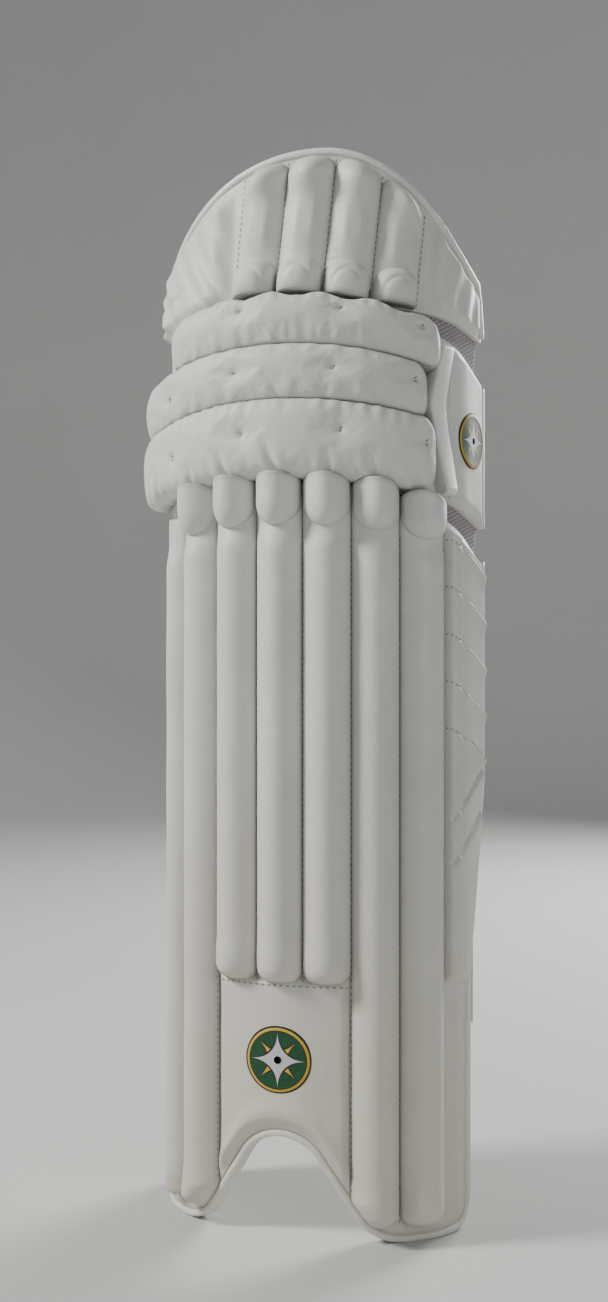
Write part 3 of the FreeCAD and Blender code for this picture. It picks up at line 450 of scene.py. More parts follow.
def cover(name, s, z, lift, back, inside=False, leaning=False):
    """A closed cover that stands lift off the pad's outer or inner face, its back sunk into the board."""
    base, side = (INNER_D, -1.0) if inside else (OUTER_D, 1.0)
    outer = place(s, z, base + side * lift)
    inner = place(s, z, base - side * back + 0 * lift)
    if leaning:
        outer, inner = lean(outer), lean(inner)
    spots = np.stack(np.broadcast_arrays(s, z), -1)
    rightwards = spots[0, -1, 0] > spots[0, 0, 0]
    return grid_object(name, outer, inner, spots, flip=inside and rightwards)


def panel(name, s, low, high, rows, base, swell, inside=False, leaning=False):
    """A sewn panel between two heights at each place s. Swell gives how far it stands off its base."""
    v = np.linspace(0, 1, rows)[:, None]
    along = np.broadcast_to(s, (rows, len(s)))
    z = low + (high - low) * v
    u = np.broadcast_to((s - s[0]) / (s[-1] - s[0]), along.shape)
    side = -1.0 if inside else 1.0
    outer = place(along, z, base + side * swell(along, z, u, np.broadcast_to(v, u.shape)))
    inner = place(along, z, np.full_like(z, base - side * 0.5))
    if leaning:
        outer, inner = lean(outer), lean(inner)
    return grid_object(name, outer, inner, np.stack([along, z], -1), flip=inside)


def ripple(a, b, length, seed, layers=5):
    """Soft random waves of about the given length, from -1 to 1, always the same for one seed."""
    random = np.random.default_rng(seed)
    total = np.zeros(np.broadcast(a, b).shape)
    for _ in range(layers):
        angle = random.uniform(0, math.pi)
        wave = length * random.uniform(0.7, 1.5)
        shift = random.uniform(0, 2 * math.pi)
        total += np.sin((a * math.cos(angle) + b * math.sin(angle)) * 2 * math.pi / wave + shift)
    return total / layers


def leather(name, tone, shade, roughness, grain=1.0, seam_shade=0.0):
    """Soft-grained PU leather with faint creases and handling marks, and painted shade darkening it next to
    its seams.
    """
    skin = Finish(name, roughness=roughness, IOR=1.48)
    pebble = skin.cells(760.0)
    crease = skin.noise(95.0, 4.0, 0.6)
    wear = skin.noise(9.0, 5.0, 0.62).step(0.36, 0.68)
    smear = skin.noise(34.0, 4.0, 0.6).step(0.45, 0.75)
    height = skin.node("ShaderNodeSeparateXYZ", values={0: skin.place()}, output=2)
    yellowed = tint(shade[0] * 0.965, shade[1] * 0.935, shade[2] * 0.82)
    tone_here = skin.blend(wear, tone, shade)
    tone_here = skin.blend((1 - height.step(0.02, 0.42)) * 0.75, tone_here, yellowed)
    tone_here = skin.blend(smear * 0.35, tone_here, tint(*(0.93 * c for c in shade[:3])))
    # Painted shade: the tone darkens within 4.5 mm of the piece's edge, where its seams sink into valleys.
    if seam_shade:
        seam_shade_mask = (1 - skin.rim().step(0.0, 4.5)) * seam_shade
        tone_here = skin.blend(seam_shade_mask, tone_here, tint(*(0.60 * c for c in shade[:3])))
    skin.feed("Base Color", tone_here)
    skin.feed("Roughness", (wear * 0.10 + smear * 0.06) + (roughness - 0.05))
    broad = skin.relief(crease, 0.35 * grain, 0.7)
    skin.feed("Normal", skin.relief(pebble, 0.16 * grain, 0.6, over=broad))
    return skin


WHITE = tint(0.66, 0.66, 0.635)
WHITE_SHADE = tint(0.60, 0.60, 0.565)
white_leather = leather("white_pu_leather", WHITE, WHITE_SHADE, 0.5)
# The canes, rolls and their pads get painted shade along their seams.
cane_leather = leather("white_cane_leather", WHITE, WHITE_SHADE, 0.5, seam_shade=0.55)
binding_leather = leather("white_binding", tint(0.76, 0.76, 0.74), tint(0.70, 0.70, 0.67), 0.42, 0.7)


def flat_swell(along, z, u, v):
    return 0.95 + 0.15 * ripple(along, z, 26.0, 3)


face_s = np.linspace(-S_EDGE + 3.0, S_EDGE - 3.0, 260)
facing = panel("shin_front_facing", face_s, shin_low(face_s, 3.0), shin_high(face_s), 90, 0.1, flat_swell)
sew(facing, "shin_guard", white_leather, ["shin_facing"])
facing = panel("knee_front_facing", face_s, knee_low(face_s), knee_high(face_s), 40, 0.1, flat_swell)
sew(facing, "knee_section", white_leather, ["knee_facing"])


def hat_face_swell(along, z, u, v):
    """The top hat's sides are lightly stuffed and pucker where the canes pull on them."""
    left = smooth(along, -34.0, -48.0) * smooth(along, -150.0, -120.0)
    right = smooth(along, 94.0, 104.0) * smooth(along, 156.0, 140.0)
    edge = smooth(v, 0.0, 0.16) * smooth(v, 1.0, 0.8)
    puff = 5.5 * (left + 0.8 * right) * edge
    fan = np.where(along < 0, along + 0.55 * (z - 590.0), along - 0.35 * (z - 590.0))
    pull = ripple(fan, 0.25 * z, 23.0, 11, 4) + 0.3 * ripple(fan, 0.4 * z, 8.0, 12, 3) * smooth(v, 0.6, 0.1)
    cross = np.exp(-(((z - 604.0 - 0.25 * np.abs(along + 100.0)) / 3.0) ** 2)) * smooth(along, -70.0, -90.0)
    return 1.0 + puff * (1 + 0.34 * pull) - 1.3 * cross * edge + 0.25 * ripple(along, z, 30.0, 5)


hat_s = np.linspace(-S_EDGE + 3.5, S_EDGE - 3.5, 300)
hat_top = np.maximum(hat_high(hat_s, 3.0), hat_low(hat_s) + 0.5)
facing = panel("hat_front_facing", hat_s, hat_low(hat_s), hat_top, 110, 0.1, hat_face_swell, leaning=True)
sew(facing, "top_hat", white_leather, ["hat_facing"])

# ---- shin canes and their knee caps ----------------------------------------
# Six upright channels of PU leather are stuffed with foam round a split-cane rod. The middle three
# stop above the instep. Each is topped by a short rounded pad that is tucked under the knee roll.

CANE_START = -75.0
CANE_PITCH = 30.0
CANE_RISE = 11.6
CANE_WIDTH = 29.8
VALLEY = 1.9
CANE_FOOT = 10.0
SHORT_CANE_FOOT = 163.0
SHORT_CANES = (1, 2, 3)
CANE_TOP = 476.0
CANE_GAP = 5.0
LEAST_WIDTH = 2.0
CAP_HEIGHT = 25.0


def stuffed(t, flat=2.5, shoulder=0.62):
    """Cross-section of a stuffed channel: 0 at both seams (t = 0 and 1) and 1 over a broad crown."""
    return np.clip(1 - np.abs(2 * t - 1) ** flat, 0, 1) ** shoulder


def rounded(t):
    """Cross-section of a softly stuffed cane: an open valley at each seam and an even crown."""
    return np.sin(math.pi * np.clip(t, 0, 1)) ** 0.78


def tip(z, end, radius):
    """Round nose of a channel: 0 at its end and 1 from radius onwards."""
    return np.sqrt(np.clip(1 - (1 - np.clip((z - end) / radius, 0, 1)) ** 2, 0, 1))


def spread(count):
    """Places from 0 to 1 that crowd towards both ends, where a channel turns down to its seams."""
    t = np.linspace(0, 1, count)
    return 0.55 * t + 0.45 * (0.5 - 0.5 * np.cos(math.pi * t))


def arch_side(z, inset):
    """How far from the middle the instep arch reaches at height z."""
    x = np.linspace(0, 110, 1200)
    return np.interp(-z, -arch_height(x, inset), x)


def cane(name, middle, foot, top, width, rise, seed, arch_trim=0, nose=10.0, rows=170, foot_swell=1.6):
    """One stuffed channel. Arch_trim is the side (+1 or -1) on which the instep arch cuts it."""
    u = spread(26)[None, :]
    t = np.linspace(0, 1, rows)[:, None] ** 1.25
    z = foot + (top - foot) * t + 0 * u
    ends = tip(z, foot, nose)
    half = width / 2 * (0.42 + 0.58 * ends)
    low_s, high_s = middle - half, middle + half
    limit = NOSE_RADIUS * np.arcsin(np.clip(arch_side(z, CANE_GAP) / (NOSE_RADIUS + CANE_GAP), 0, 0.99))
    if arch_trim > 0:
        high_s = np.maximum(np.minimum(high_s, -limit), low_s + LEAST_WIDTH)
    if arch_trim < 0:
        low_s = np.minimum(np.maximum(low_s, limit), high_s - LEAST_WIDTH)
    s = low_s + (high_s - low_s) * u
    lift = rise * rounded(u) * ends * np.clip((high_s - low_s) / width * 1.25, 0, 1)
    lift = lift * (1 - 0.30 * smooth(z, top - 34.0, top - 17.0) * (top > 400.0))
    seam = np.exp(-((np.minimum(u, 1 - u) / 0.16) ** 2))
    lift = lift + 0.7 * seam * ripple(z, 0 * z, 8.5, seed, 3) * ends * rounded(u)
    lift = lift * (1 + 0.03 * ripple(s, z, 62.0, seed + 1)) + VALLEY * tip(z, foot, 3.0)
    lift = lift + foot_swell * np.exp(-(((z - foot - 15.0) / 10.0) ** 2)) * stuffed(u)
    return cover(name, s, z, lift, 0.5)


def cap(name, middle, foot, top_of, width, rise, seed):
    """The short fat pad on a cane's end: round below, open where it is tucked under the next roll."""
    u = spread(28)[None, :]
    v = np.linspace(0, 1, 36)[:, None] ** 1.3
    nose = tip(v, 0.0, 0.50)
    half = width / 2 * (0.10 + 0.90 * nose)
    s = middle - half + 2 * half * u
    under = CANE_RISE * 0.70 * rounded(0.5 + (s - middle) / CANE_WIDTH * 0.98)
    lift = (rise - 5.5) * nose * rounded(u) ** 0.8 * (1 + 0.03 * ripple(s, 25.0 * v, 18.0, seed))
    lift = np.maximum(lift, 0) + under * (1 - 0.15 * nose) + VALLEY - 1.2 * (1 - nose)
    z = foot + (top_of(s, OUTER_D + lift) - 0.4 - foot) * v
    inner_z = foot + (top_of(s, OUTER_D) - 0.4 - foot) * v
    inner = place(s, inner_z, OUTER_D - 0.4 + 0 * lift)
    return grid_object(name, place(s, z, OUTER_D + lift), inner, np.stack([s, z], -1))


for i in range(6):
    middle = CANE_START + (i + 0.5) * CANE_PITCH
    top = CANE_TOP - drop(float(depth(middle)), KNEE_SLOPE)
    short = i in SHORT_CANES
    foot = SHORT_CANE_FOOT if short else CANE_FOOT
    trim = {0: 1, 4: -1}.get(i, 0)
    reach = min(top - 6.0, float(shin_high(abs(middle) + 15.0, OUTER_D)) - 1.0)
    piece = cane("shin_cane_%d" % (i + 1), middle, foot, reach, CANE_WIDTH, CANE_RISE, 20 + i, trim)
    stands = ["short_shin_canes"] if short else ["long_shin_canes"]
    sew(piece, "shin_guard", cane_leather, stands)
    below = top - CAP_HEIGHT
    piece = cap("knee_cap_%d" % (i + 1), middle, below, shin_high, 28.6, 16.4, 40 + i)
    sew(piece, "shin_guard", cane_leather, ["knee_cap_pads"])

# ---- inner edge roll and instep panel --------------------------------------
# A narrow stuffed roll finishes the inner side of the shin. Between canes 1 and 5 a flat padded panel
# covers the instep above the arch and carries a round badge.

piece = cane("inner_edge_roll_cover", -87.5, 11.0, 459.0, 22.5, 8.4, 60, nose=7.0)
sew(piece, "shin_guard", cane_leather, ["inner_edge_roll"])

INSTEP_HALF = 44.0
INSTEP_FOOT = 12.0
INSTEP_TOP = 167.0


def instep_foot(s):
    """Lower edge of the instep panel, a little above the arch."""
    return np.maximum(arch_height(across(s), 4.6), INSTEP_FOOT)


def instep_swell(along, z, u, v):
    edge = np.minimum(smooth(u, 0.0, 0.06), smooth(u, 1.0, 0.94))
    rise = 3.6 * edge * smooth(v, 0.0, 0.09) * smooth(v, 1.0, 0.95)
    ridge = 1.6 * np.exp(-(((z - instep_foot(along) - 12.0) / 7.0) ** 2))
    return 0.5 + rise + ridge + 0.3 * ripple(along, z, 34.0, 9)


instep_s = np.linspace(-INSTEP_HALF, INSTEP_HALF, 110)
instep_top = np.full_like(instep_s, INSTEP_TOP)
piece = panel("instep_panel_cover", instep_s, instep_foot(instep_s), instep_top, 90, OUTER_D, instep_swell)
sew(piece, "shin_guard", white_leather, ["instep_panel"])

# ---- outer wing of the shin ------------------------------------------------
# The wing that faces the bowler is one moulded panel with a bevelled rim. Five slanted stitch lines
# pull it into overlapping leaves, and two grooves below them run the other way.

WING_LINES = (444.0, 414.0, 384.0, 354.0, 324.0)
WING_SLOPE = 27.0
GROOVES = (262.0, 234.0)
GROOVE_SLOPE = 38.0
WING_FRONT_Y = 40.0


def wing_swell(along, z, u, v):
    y = depth(along, 4.0)
    edge = np.minimum(smooth(u, 0.0, 0.10), smooth(u, 1.0, 0.86))
    ends = smooth(v, 0.0, 0.03) * smooth(v, 1.0, 0.985)
    rise = 4.2 * edge * ends
    level = z + drop(y - WING_FRONT_Y, WING_SLOPE)
    strip = smooth(u, 0.0, 0.05) * smooth(u, 0.26, 0.19) * ends
    rise = rise * (1 - 0.5 * smooth(u, 0.30, 0.19)) + 4.6 * strip
    for line in WING_LINES:
        below = line - level
        leaf = np.where(below > 0, np.exp(-below / 11.0), 0.0)
        rise = rise + 3.9 * leaf * edge * smooth(below, 0.0, 2.2) * smooth(u, 0.2, 0.3)
        rise = rise - 1.0 * np.exp(-((below / 1.3) ** 2)) * edge
    counter = z - drop(y - WING_FRONT_Y, GROOVE_SLOPE)
    for line in GROOVES:
        rise = rise - 2.8 * np.exp(-(((counter - line) / 2.0) ** 2)) * edge
    return 0.6 + rise + 0.18 * ripple(along, z, 24.0, 15)


wing_s = np.linspace(106.5, S_EDGE - 7.0, 74)
wing_low = np.maximum(np.full_like(wing_s, 158.0), shin_low(wing_s, 7.0) + 2.0)
wing_high = shin_high(wing_s) - 4.0
piece = panel("outer_wing_cover", wing_s, wing_low, wing_high, 420, OUTER_D, wing_swell)
sew(piece, "shin_guard", white_leather, ["outer_wing_panel", "outer_wing_ribs"])

# ---- knee roll -------------------------------------------------------------
# Three thick horizontal bolsters of PU leather over soft foam wrap the knee. Thread ties pull small
# dimples through them, and the seams between them gather the leather into short puckers.

# Each seam's height at the nose and its slope, from the lowest up.
ROLL_SEAMS = ((KNEE_FOOT, KNEE_SLOPE), (524.0, 19.2), (558.0, 21.7), (KNEE_TOP, HAT_SLOPE))
ROLL_GROOVE = 6.0
HAT_CANE_START = -32.0
HAT_CANE_PITCH = 29.6
ROLLS = {
    # lower seam, s at the inner end, s at the outer end, rise, how far its foot hangs, ties (s, share)
    "lower_knee_roll": (0, -127.0, 96.0, 19.6, 5.0, ((-71, 0.45), (-18, 0.52), (38, 0.58), (86, 0.6))),
    "middle_knee_roll": (1, -123.0, 91.0, 18.4, 0.0, ((-75, 0.42), (-23, 0.5), (34, 0.56), (80, 0.62))),
    "upper_knee_roll": (2, -84.0, 99.0, 17.6, 0.0, ((-20, 0.66), (38, 0.7), (84, 0.7))),
}
# Folds that run up from each roll's lower seam: where one starts, how it slants, how far up it reaches.
ROLL_FOLDS = (
    (-112, 9, 0.5), (-92, 6, 0.42), (-58, 4, 0.3), (-28, -5, 0.42),
    (4, -9, 0.5), (30, 3, 0.28), (58, -5, 0.4), (82, -9, 0.46),
)
TIE_RADIUS = 2.4


def inflate(piece, pinned, pressure, cap_mm, frames=12, shrink=-0.03):
    """Blows a closed skin up like a stuffed cover, held at its pinned points, then keeps the shape."""
    mesh = piece.data
    rest = np.empty(len(mesh.vertices) * 3, np.float32)
    mesh.vertices.foreach_get("co", rest)
    group = piece.vertex_groups.new(name="pins")
    group.add([int(i) for i in pinned], 1.0, "REPLACE")
    cloth = piece.modifiers.new("stuffing", "CLOTH")
    cloth.settings.quality = 4
    cloth.settings.mass = 0.25
    cloth.settings.tension_stiffness = 18
    cloth.settings.compression_stiffness = 12
    cloth.settings.shear_stiffness = 6
    cloth.settings.bending_stiffness = 0.6
    cloth.settings.tension_damping = 8
    cloth.settings.air_damping = 4
    cloth.settings.shrink_min = shrink
    cloth.settings.use_pressure = True
    cloth.settings.uniform_pressure_force = pressure
    cloth.settings.vertex_group_mass = "pins"
    cloth.settings.effector_weights.gravity = 0
    cloth.collision_settings.use_collision = False
    cloth.point_cache.frame_start = 1
    cloth.point_cache.frame_end = frames
    scene = bpy.context.scene
    for number in range(1, frames + 1):
        scene.frame_set(number)
    blown = piece.evaluated_get(bpy.context.evaluated_depsgraph_get()).to_mesh()
    moved = np.empty_like(rest)
    blown.vertices.foreach_get("co", moved)
    piece.modifiers.remove(cloth)
    piece.vertex_groups.remove(group)
    scene.frame_set(1)
    shift = (moved - rest).reshape(-1, 3)
    furthest = float(np.percentile(np.linalg.norm(shift, axis=1), 99.5)) + 1e-9
    shift *= min(1.0, cap_mm * 0.001 / furthest)
    mesh.vertices.foreach_set("co", (rest.reshape(-1, 3) + shift).astype(np.float32).ravel())
    mesh.update()
    return piece


def sewn_down(rows, cols):
    """The points at which a cover of rows by cols is held: its outer two rows all round and its back."""
    index = np.arange(rows * cols).reshape(rows, cols)
    held = set(index[:2].ravel()) | set(index[-2:].ravel()) | set(index[:, :2].ravel())
    return held | set(index[:, -2:].ravel()) | set(range(rows * cols, 2 * rows * cols))


knots = []
for name, (low_seam, s_in, s_out, rise, hang, ties) in ROLLS.items():
    cols, rows = 250, 56
    u = np.linspace(0, 1, cols)[None, :]
    v = spread(rows)[:, None]
    s = s_in + (s_out - s_in) * u + 0 * v
    ends = tip(s - s_in, 0.0, 24.0) * tip(s_out - s, 0.0, 11.0)
    v_here = 0.5 * (1 - ends) * 0.7 + (1 - (1 - ends) * 0.7) * v
    upper_edge = 10.0 if low_seam == 2 else rise - ROLL_GROOVE
    lower_edge = ROLL_GROOVE if low_seam == 0 else rise - ROLL_GROOVE
    edge_rise = lower_edge + (upper_edge - lower_edge) * smooth(v, 0.3, 0.7)
    crown = stuffed(v, 2.4, 0.5)
    swell = (edge_rise + (rise - edge_rise) * crown) * (0.12 + 0.88 * ends)
    low_pull = np.exp(-((v / 0.24) ** 2))
    high_pull = np.exp(-(((1 - v) / 0.18) ** 2))
    gathers = ripple(s, 0 * s, 9.0, 70 + low_seam, 4)
    folds = 0 * swell
    for fold_s, slant, reach in ROLL_FOLDS:
        crease = s - fold_s - slant * (v / reach)
        fade = smooth(v, reach, 0.0)
        banks = np.exp(-(((np.abs(crease) - 5.5) / 3.2) ** 2))
        folds = folds + np.exp(-((crease / 2.0) ** 2)) * fade - 0.35 * banks * fade
    swell = swell * (1 + (0.055 * low_pull + 0.05 * high_pull) * gathers)
    swell = swell - (3.4 if low_seam == 0 else 0.9) * folds * ends
    swell = swell * (1 + 0.022 * ripple(s, v * 40, 60.0, 80 + low_seam))
    for tie_s, tie_v in ties:
        away = np.hypot(s - tie_s, (v - tie_v) * 40.0)
        swell = swell - 1.9 * np.exp(-((away / TIE_RADIUS) ** 2)) - 1.9 * np.exp(-((away / 9.5) ** 2))
    d = OUTER_D + 0.1 + np.maximum(swell, 0.1)
    y = depth(s, d)
    (z_a, slope_a), (z_b, slope_b) = ROLL_SEAMS[low_seam], ROLL_SEAMS[low_seam + 1]
    z_low = z_a - drop(y, slope_a) + 0.3
    z_high = z_b - drop(y, slope_b) - 0.3
    z = z_low + (z_high - z_low) * v_here - hang * np.exp(-(((v - 0.16) / 0.2) ** 2)) * ends
    if low_seam == 2:
        lobes = np.cos((s - HAT_CANE_START) * 2 * math.pi / HAT_CANE_PITCH)
        z = z + (1.2 * lobes - 0.4) * smooth(v, 0.55, 1.0) * smooth(s, -50.0, -30.0) * smooth(s, 92.0, 80.0)
    y_in = depth(s, OUTER_D)
    in_low = z_a - drop(y_in, slope_a) + 0.3
    in_high = z_b - drop(y_in, slope_b) - 0.3
    inner = place(s, in_low + (in_high - in_low) * v_here, OUTER_D - 0.3 + 0 * s)
    piece = grid_object(name + "_cover", place(s, z, d), inner, np.stack([s, z], -1))
    held = sewn_down(rows, cols)
    for tie_s, tie_v in ties:
        held |= set(np.flatnonzero(np.hypot(s - tie_s, (v - tie_v) * 40.0) < TIE_RADIUS))
    inflate(piece, held, 3.0, 0.7, shrink=-0.008)
    sew(piece, "knee_section", cane_leather, [name, "knee_roll_foams"])
    for tie_s, tie_v in ties:
        row = int(np.argmin(np.abs(v[:, 0] - tie_v)))
        col = int(np.argmin(np.abs(s[0] - tie_s)))
        knots.append(np.array(piece.data.vertices[row * cols + col].co))

# ---- side frame, knee wing -------------------------------------------------
# A firm folded strip of white leather frames the rolls on the outer side. Behind it a flat panel
# covers the knee wing as far as its edge tape.


STRIP_FOOT = 470.5
STRIP_TOP = 567.0
STRIP_WIDTH = 15.5


def frame_line(z):
    """Where the strip's middle runs: it points forwards like an arrow at half height."""
    away = np.sqrt((z - 526.0) ** 2 + 5.0**2)
    return 97.0 + 0.21 * away


rows = 120
v = np.linspace(0, 1, rows)[:, None]
u = np.linspace(0, 1, 22)[None, :]
z = STRIP_FOOT + (STRIP_TOP - STRIP_FOOT) * v + 0 * u
s = frame_line(z) + (u - 0.5) * STRIP_WIDTH
profile = smooth(u, 0.0, 0.14) * smooth(u, 1.0, 0.88) * (12.0 - 7.5 * u)
lift = profile * tip(v, 0.0, 0.05) * tip(1 - v, 0.0, 0.05)
piece = cover("knee_side_frame_strip", s, z, 0.2 + lift, 0.3)
sew(piece, "knee_section", binding_leather, ["knee_side_frame"])


def knee_wing_swell(along, z, u, v):
    edge = np.minimum(smooth(u, 0.0, 0.10), smooth(u, 1.0, 0.88))
    return 0.4 + 3.0 * edge * smooth(v, 0.0, 0.05) * smooth(v, 1.0, 0.95) + 0.2 * ripple(along, z, 28.0, 17)


knee_wing_s = np.linspace(112.0, S_EDGE - 6.0, 60)
wing_low_line = knee_low(knee_wing_s) + 1.5
wing_high_line = knee_high(knee_wing_s) - 1.5
piece = panel("knee_wing_cover", knee_wing_s, wing_low_line, wing_high_line, 70, OUTER_D, knee_wing_swell)
sew(piece, "knee_section", white_leather, ["knee_wing_panel"])

# ---- canes of the top hat --------------------------------------------------
# Four shorter channels run up to the arched top edge, each with its own rounded pad at the bottom
# that sits on the knee roll.

HAT_SPLAY = 0.075
SPLAY_Z = 600.0
HAT_CANE_FOOT = 592.0
HAT_PAD_LAP = 9.0
HAT_PAD_HEIGHT = 24.0
for i in range(4):
    middle = HAT_CANE_START + (i + 0.5) * HAT_CANE_PITCH
    foot = HAT_CANE_FOOT - drop(float(depth(middle)), HAT_SLOPE) + HAT_PAD_LAP
    u = spread(26)[None, :]
    v = np.linspace(0, 1, 90)[:, None]
    nose = tip(1 - v, 0.0, 0.14)
    s = middle + (u - 0.5) * 29.6 * (0.45 + 0.55 * nose)
    top = hat_high(s + HAT_SPLAY * 85.0, 5.5)
    z = foot + (top - foot) * v
    s = s + HAT_SPLAY * (z - SPLAY_Z)
    finger = 7.0 + 5.6 * np.exp(-(((v - 0.85) / 0.12) ** 2)) - 2.2 * smooth(v, 0.42, 0.20)
    ribs = np.exp(-(((u - 0.34) / 0.07) ** 2)) + np.exp(-(((u - 0.68) / 0.07) ** 2))
    flat = 0.8 * np.exp(-(((v - 0.48) / 0.16) ** 2)) * ribs
    lift = finger * rounded(u) ** 1.15 * nose * (1 + 0.05 * ripple(s, z, 30.0, 90 + i)) + flat
    seam = np.exp(-((np.minimum(u, 1 - u) / 0.16) ** 2))
    pucker = 0.9 * seam * ripple(z, 0 * z, 7.0, 95 + i, 3) * nose * rounded(u)
    lift = lift + VALLEY * tip(1 - v, 0.0, 0.04) + pucker
    piece = cover("hat_cane_%d" % (i + 1), s, z, lift, 0.3, leaning=True)
    sew(piece, "top_hat", cane_leather, ["hat_canes"])
    v = 1 - (1 - np.linspace(0, 1, 34)[:, None]) ** 1.3
    nose = tip(1 - v, 0.0, 0.6)
    s = middle + (u - 0.5) * 28.0 * (0.10 + 0.90 * tip(1 - v, 0.0, 0.52))
    low = hat_low(s, OUTER_D + 8.0) + 0.6
    z = low + HAT_PAD_HEIGHT * v
    ring = np.exp(-(((np.hypot((s - middle) / 13.0, v / 0.92) - 0.72) / 0.07) ** 2))
    lift = (13.4 - 1.1 * ring) * stuffed(u, 2.3, 0.55) * nose * tip(v + 0.3, 0.0, 0.7) + VALLEY
    s = s + HAT_SPLAY * (z - SPLAY_Z)
    piece = cover("hat_cane_pad_%d" % (i + 1), s, z, lift, 0.4, leaning=True)
    sew(piece, "top_hat", cane_leather, ["hat_cane_bulbs"])

# ---- edge tape -------------------------------------------------------------
# A strip of smooth PU is folded round all the layers and sewn through near its inner edge. It runs
# down both wings, round the heels and over the instep arch, and round the top hat.


TAPE_HALF_DEPTH = 5.75
TAPE_SQUARENESS = 0.62


def squared(value, power):
    """A sine or cosine pushed towards 1, so that a round section becomes a rounded rectangle."""
    return np.sign(value) * np.abs(value) ** power


def tape(name, s, z, leaning=False, width=4.6):
    """Folded tape along a line on the pad. The pad lies to the left of the line, seen from the front."""
    path = place(s, z, -3.0)
    normal = place(s, z, -2.0) - path
    if leaning:
        tipped = lean(path)
        normal = lean(path + normal) - tipped
        path = tipped
    normal /= np.linalg.norm(normal, axis=1, keepdims=True)
    along = np.gradient(path, axis=0)
    along /= np.linalg.norm(along, axis=1, keepdims=True)
    inward = np.cross(normal, along)
    turn = np.linspace(0, 2 * math.pi, 22, endpoint=False)
    wide = squared(np.cos(turn), TAPE_SQUARENESS) * TAPE_HALF_DEPTH
    deep = width / 2 - 0.4 + squared(np.sin(turn), TAPE_SQUARENESS) * (width / 2 + 0.25)
    wobble = 1 + 0.03 * ripple(np.arange(len(s)) * 2.0, 0 * s, 13.0, 33)[:, None]
    ring = (
        path[:, None]
        + normal[:, None] * (wide * 0.001)[None, :, None] * wobble[..., None]
        + inward[:, None] * (deep * 0.001)[None, :, None]
    )
    count, around = ring.shape[:2]
    points = ring.reshape(-1, 3)
    faces = []
    for i in range(count - 1):
        for j in range(around):
            k = (j + 1) % around
            faces.append((i * around + j, i * around + k, (i + 1) * around + k, (i + 1) * around + j))
    faces.append(tuple(range(around))[::-1])
    faces.append(tuple((count - 1) * around + j for j in range(around)))
    mesh = bpy.data.meshes.new(name)
    mesh.from_pydata(points.tolist(), [], faces)
    mesh.shade_smooth()
    mesh.update()
    return put(name, mesh)


plan_s = np.linspace(-S_EDGE, S_EDGE, 4001)
plan_x = across(plan_s)
plan_y = depth(plan_s)


def s_at_x(x):
    inside = np.abs(plan_s) < S_CHEEK
    return np.interp(x, plan_x[inside], plan_s[inside])


def s_at_y(y, side):
    half = plan_s >= 0
    return side * np.interp(y, plan_y[half], plan_s[half])


def heel(back, side):
    """Line from a wing's straight back edge, round its heel, to the floor."""
    turn = np.linspace(0, math.pi / 2, 14)
    y = back - HEEL_RADIUS + HEEL_RADIUS * np.cos(turn)
    return s_at_y(y, side), HEEL_RADIUS - HEEL_RADIUS * np.sin(turn)


TAPE_TOP = 431.0
ARCH_REACH = 78.0
left_s, left_z = heel(INNER_BACK, -1)
right_s, right_z = heel(OUTER_BACK, 1)
arch_x = np.linspace(-ARCH_REACH, ARCH_REACH, 120)
taper_y = np.linspace(OUTER_BACK + 0.5, 96.6, 34)
line_s = np.concatenate([
    np.full(60, -S_EDGE), left_s, np.linspace(left_s[-1], s_at_x(-ARCH_REACH - 2.0), 14)[1:],
    s_at_x(arch_x), np.linspace(s_at_x(ARCH_REACH + 2.0), right_s[-1], 8)[:-1], right_s[::-1],
    np.full(34, s_at_y(OUTER_BACK, 1)), s_at_y(taper_y, 1), np.full(40, S_EDGE),
])
line_z = np.concatenate([
    np.linspace(TAPE_TOP, 24.0, 60), left_z, np.zeros(13),
    arch_height(arch_x), np.zeros(7), right_z[::-1], np.linspace(26.0, TAPER_FOOT - 2.0, 34),
    TAPER_FOOT + (taper_y - OUTER_BACK) * TAPER_RISE, np.linspace(287.0, TAPE_TOP, 40),
])
piece = tape("shin_edge_tape", line_s, line_z)
sew(piece, "shin_guard", binding_leather, ["shin_edge_binding"])
for name, side in (("inner", -1), ("outer", 1)):
    z = np.linspace(float(knee_low(S_EDGE)) + 1.0, float(knee_high(S_EDGE)) - 1.0, 40)
    z = z if side > 0 else z[::-1]
    piece = tape("knee_edge_tape_" + name, np.full(40, side * S_EDGE), z)
    sew(piece, "knee_section", binding_leather, ["knee_edge_binding"])
rim_s = np.concatenate([
    np.linspace(S_EDGE - 0.6, S_CHEEK, 60), np.linspace(S_CHEEK, -S_CHEEK, 200)[1:-1],
    np.linspace(-S_CHEEK, -S_EDGE + 0.6, 60),
])
rim_z = np.maximum(hat_high(rim_s), hat_low(rim_s) - 1.0)
piece = tape("hat_edge_tape", rim_s, rim_z, leaning=True, width=5.0)
sew(piece, "top_hat", binding_leather, ["hat_edge_binding"])

# ---- linings ---------------------------------------------------------------
# The leg side of each section is lined. The top hat's white PU lining is quilted in diamonds, the
# shin's is embossed with a basket pattern where it shows at the ankle, and the knee's is plain.


QUILT_PITCH = 47.0
QUILT_SHIFT = 21.0
QUILT_Z = 612.0
QUILT_ACROSS = 0.84
QUILT_UP = 0.54


def quilt_lines(s, z):
    """Distance, in mm, to the nearest line of each family of the top hat's slanted stitch rows."""
    found = []
    for side in (-1, 1):
        over = (s * QUILT_ACROSS + side * (z - QUILT_Z) * QUILT_UP) + QUILT_SHIFT
        found.append(np.abs((over / QUILT_PITCH) % 1.0 - 0.5) * QUILT_PITCH)
    return found


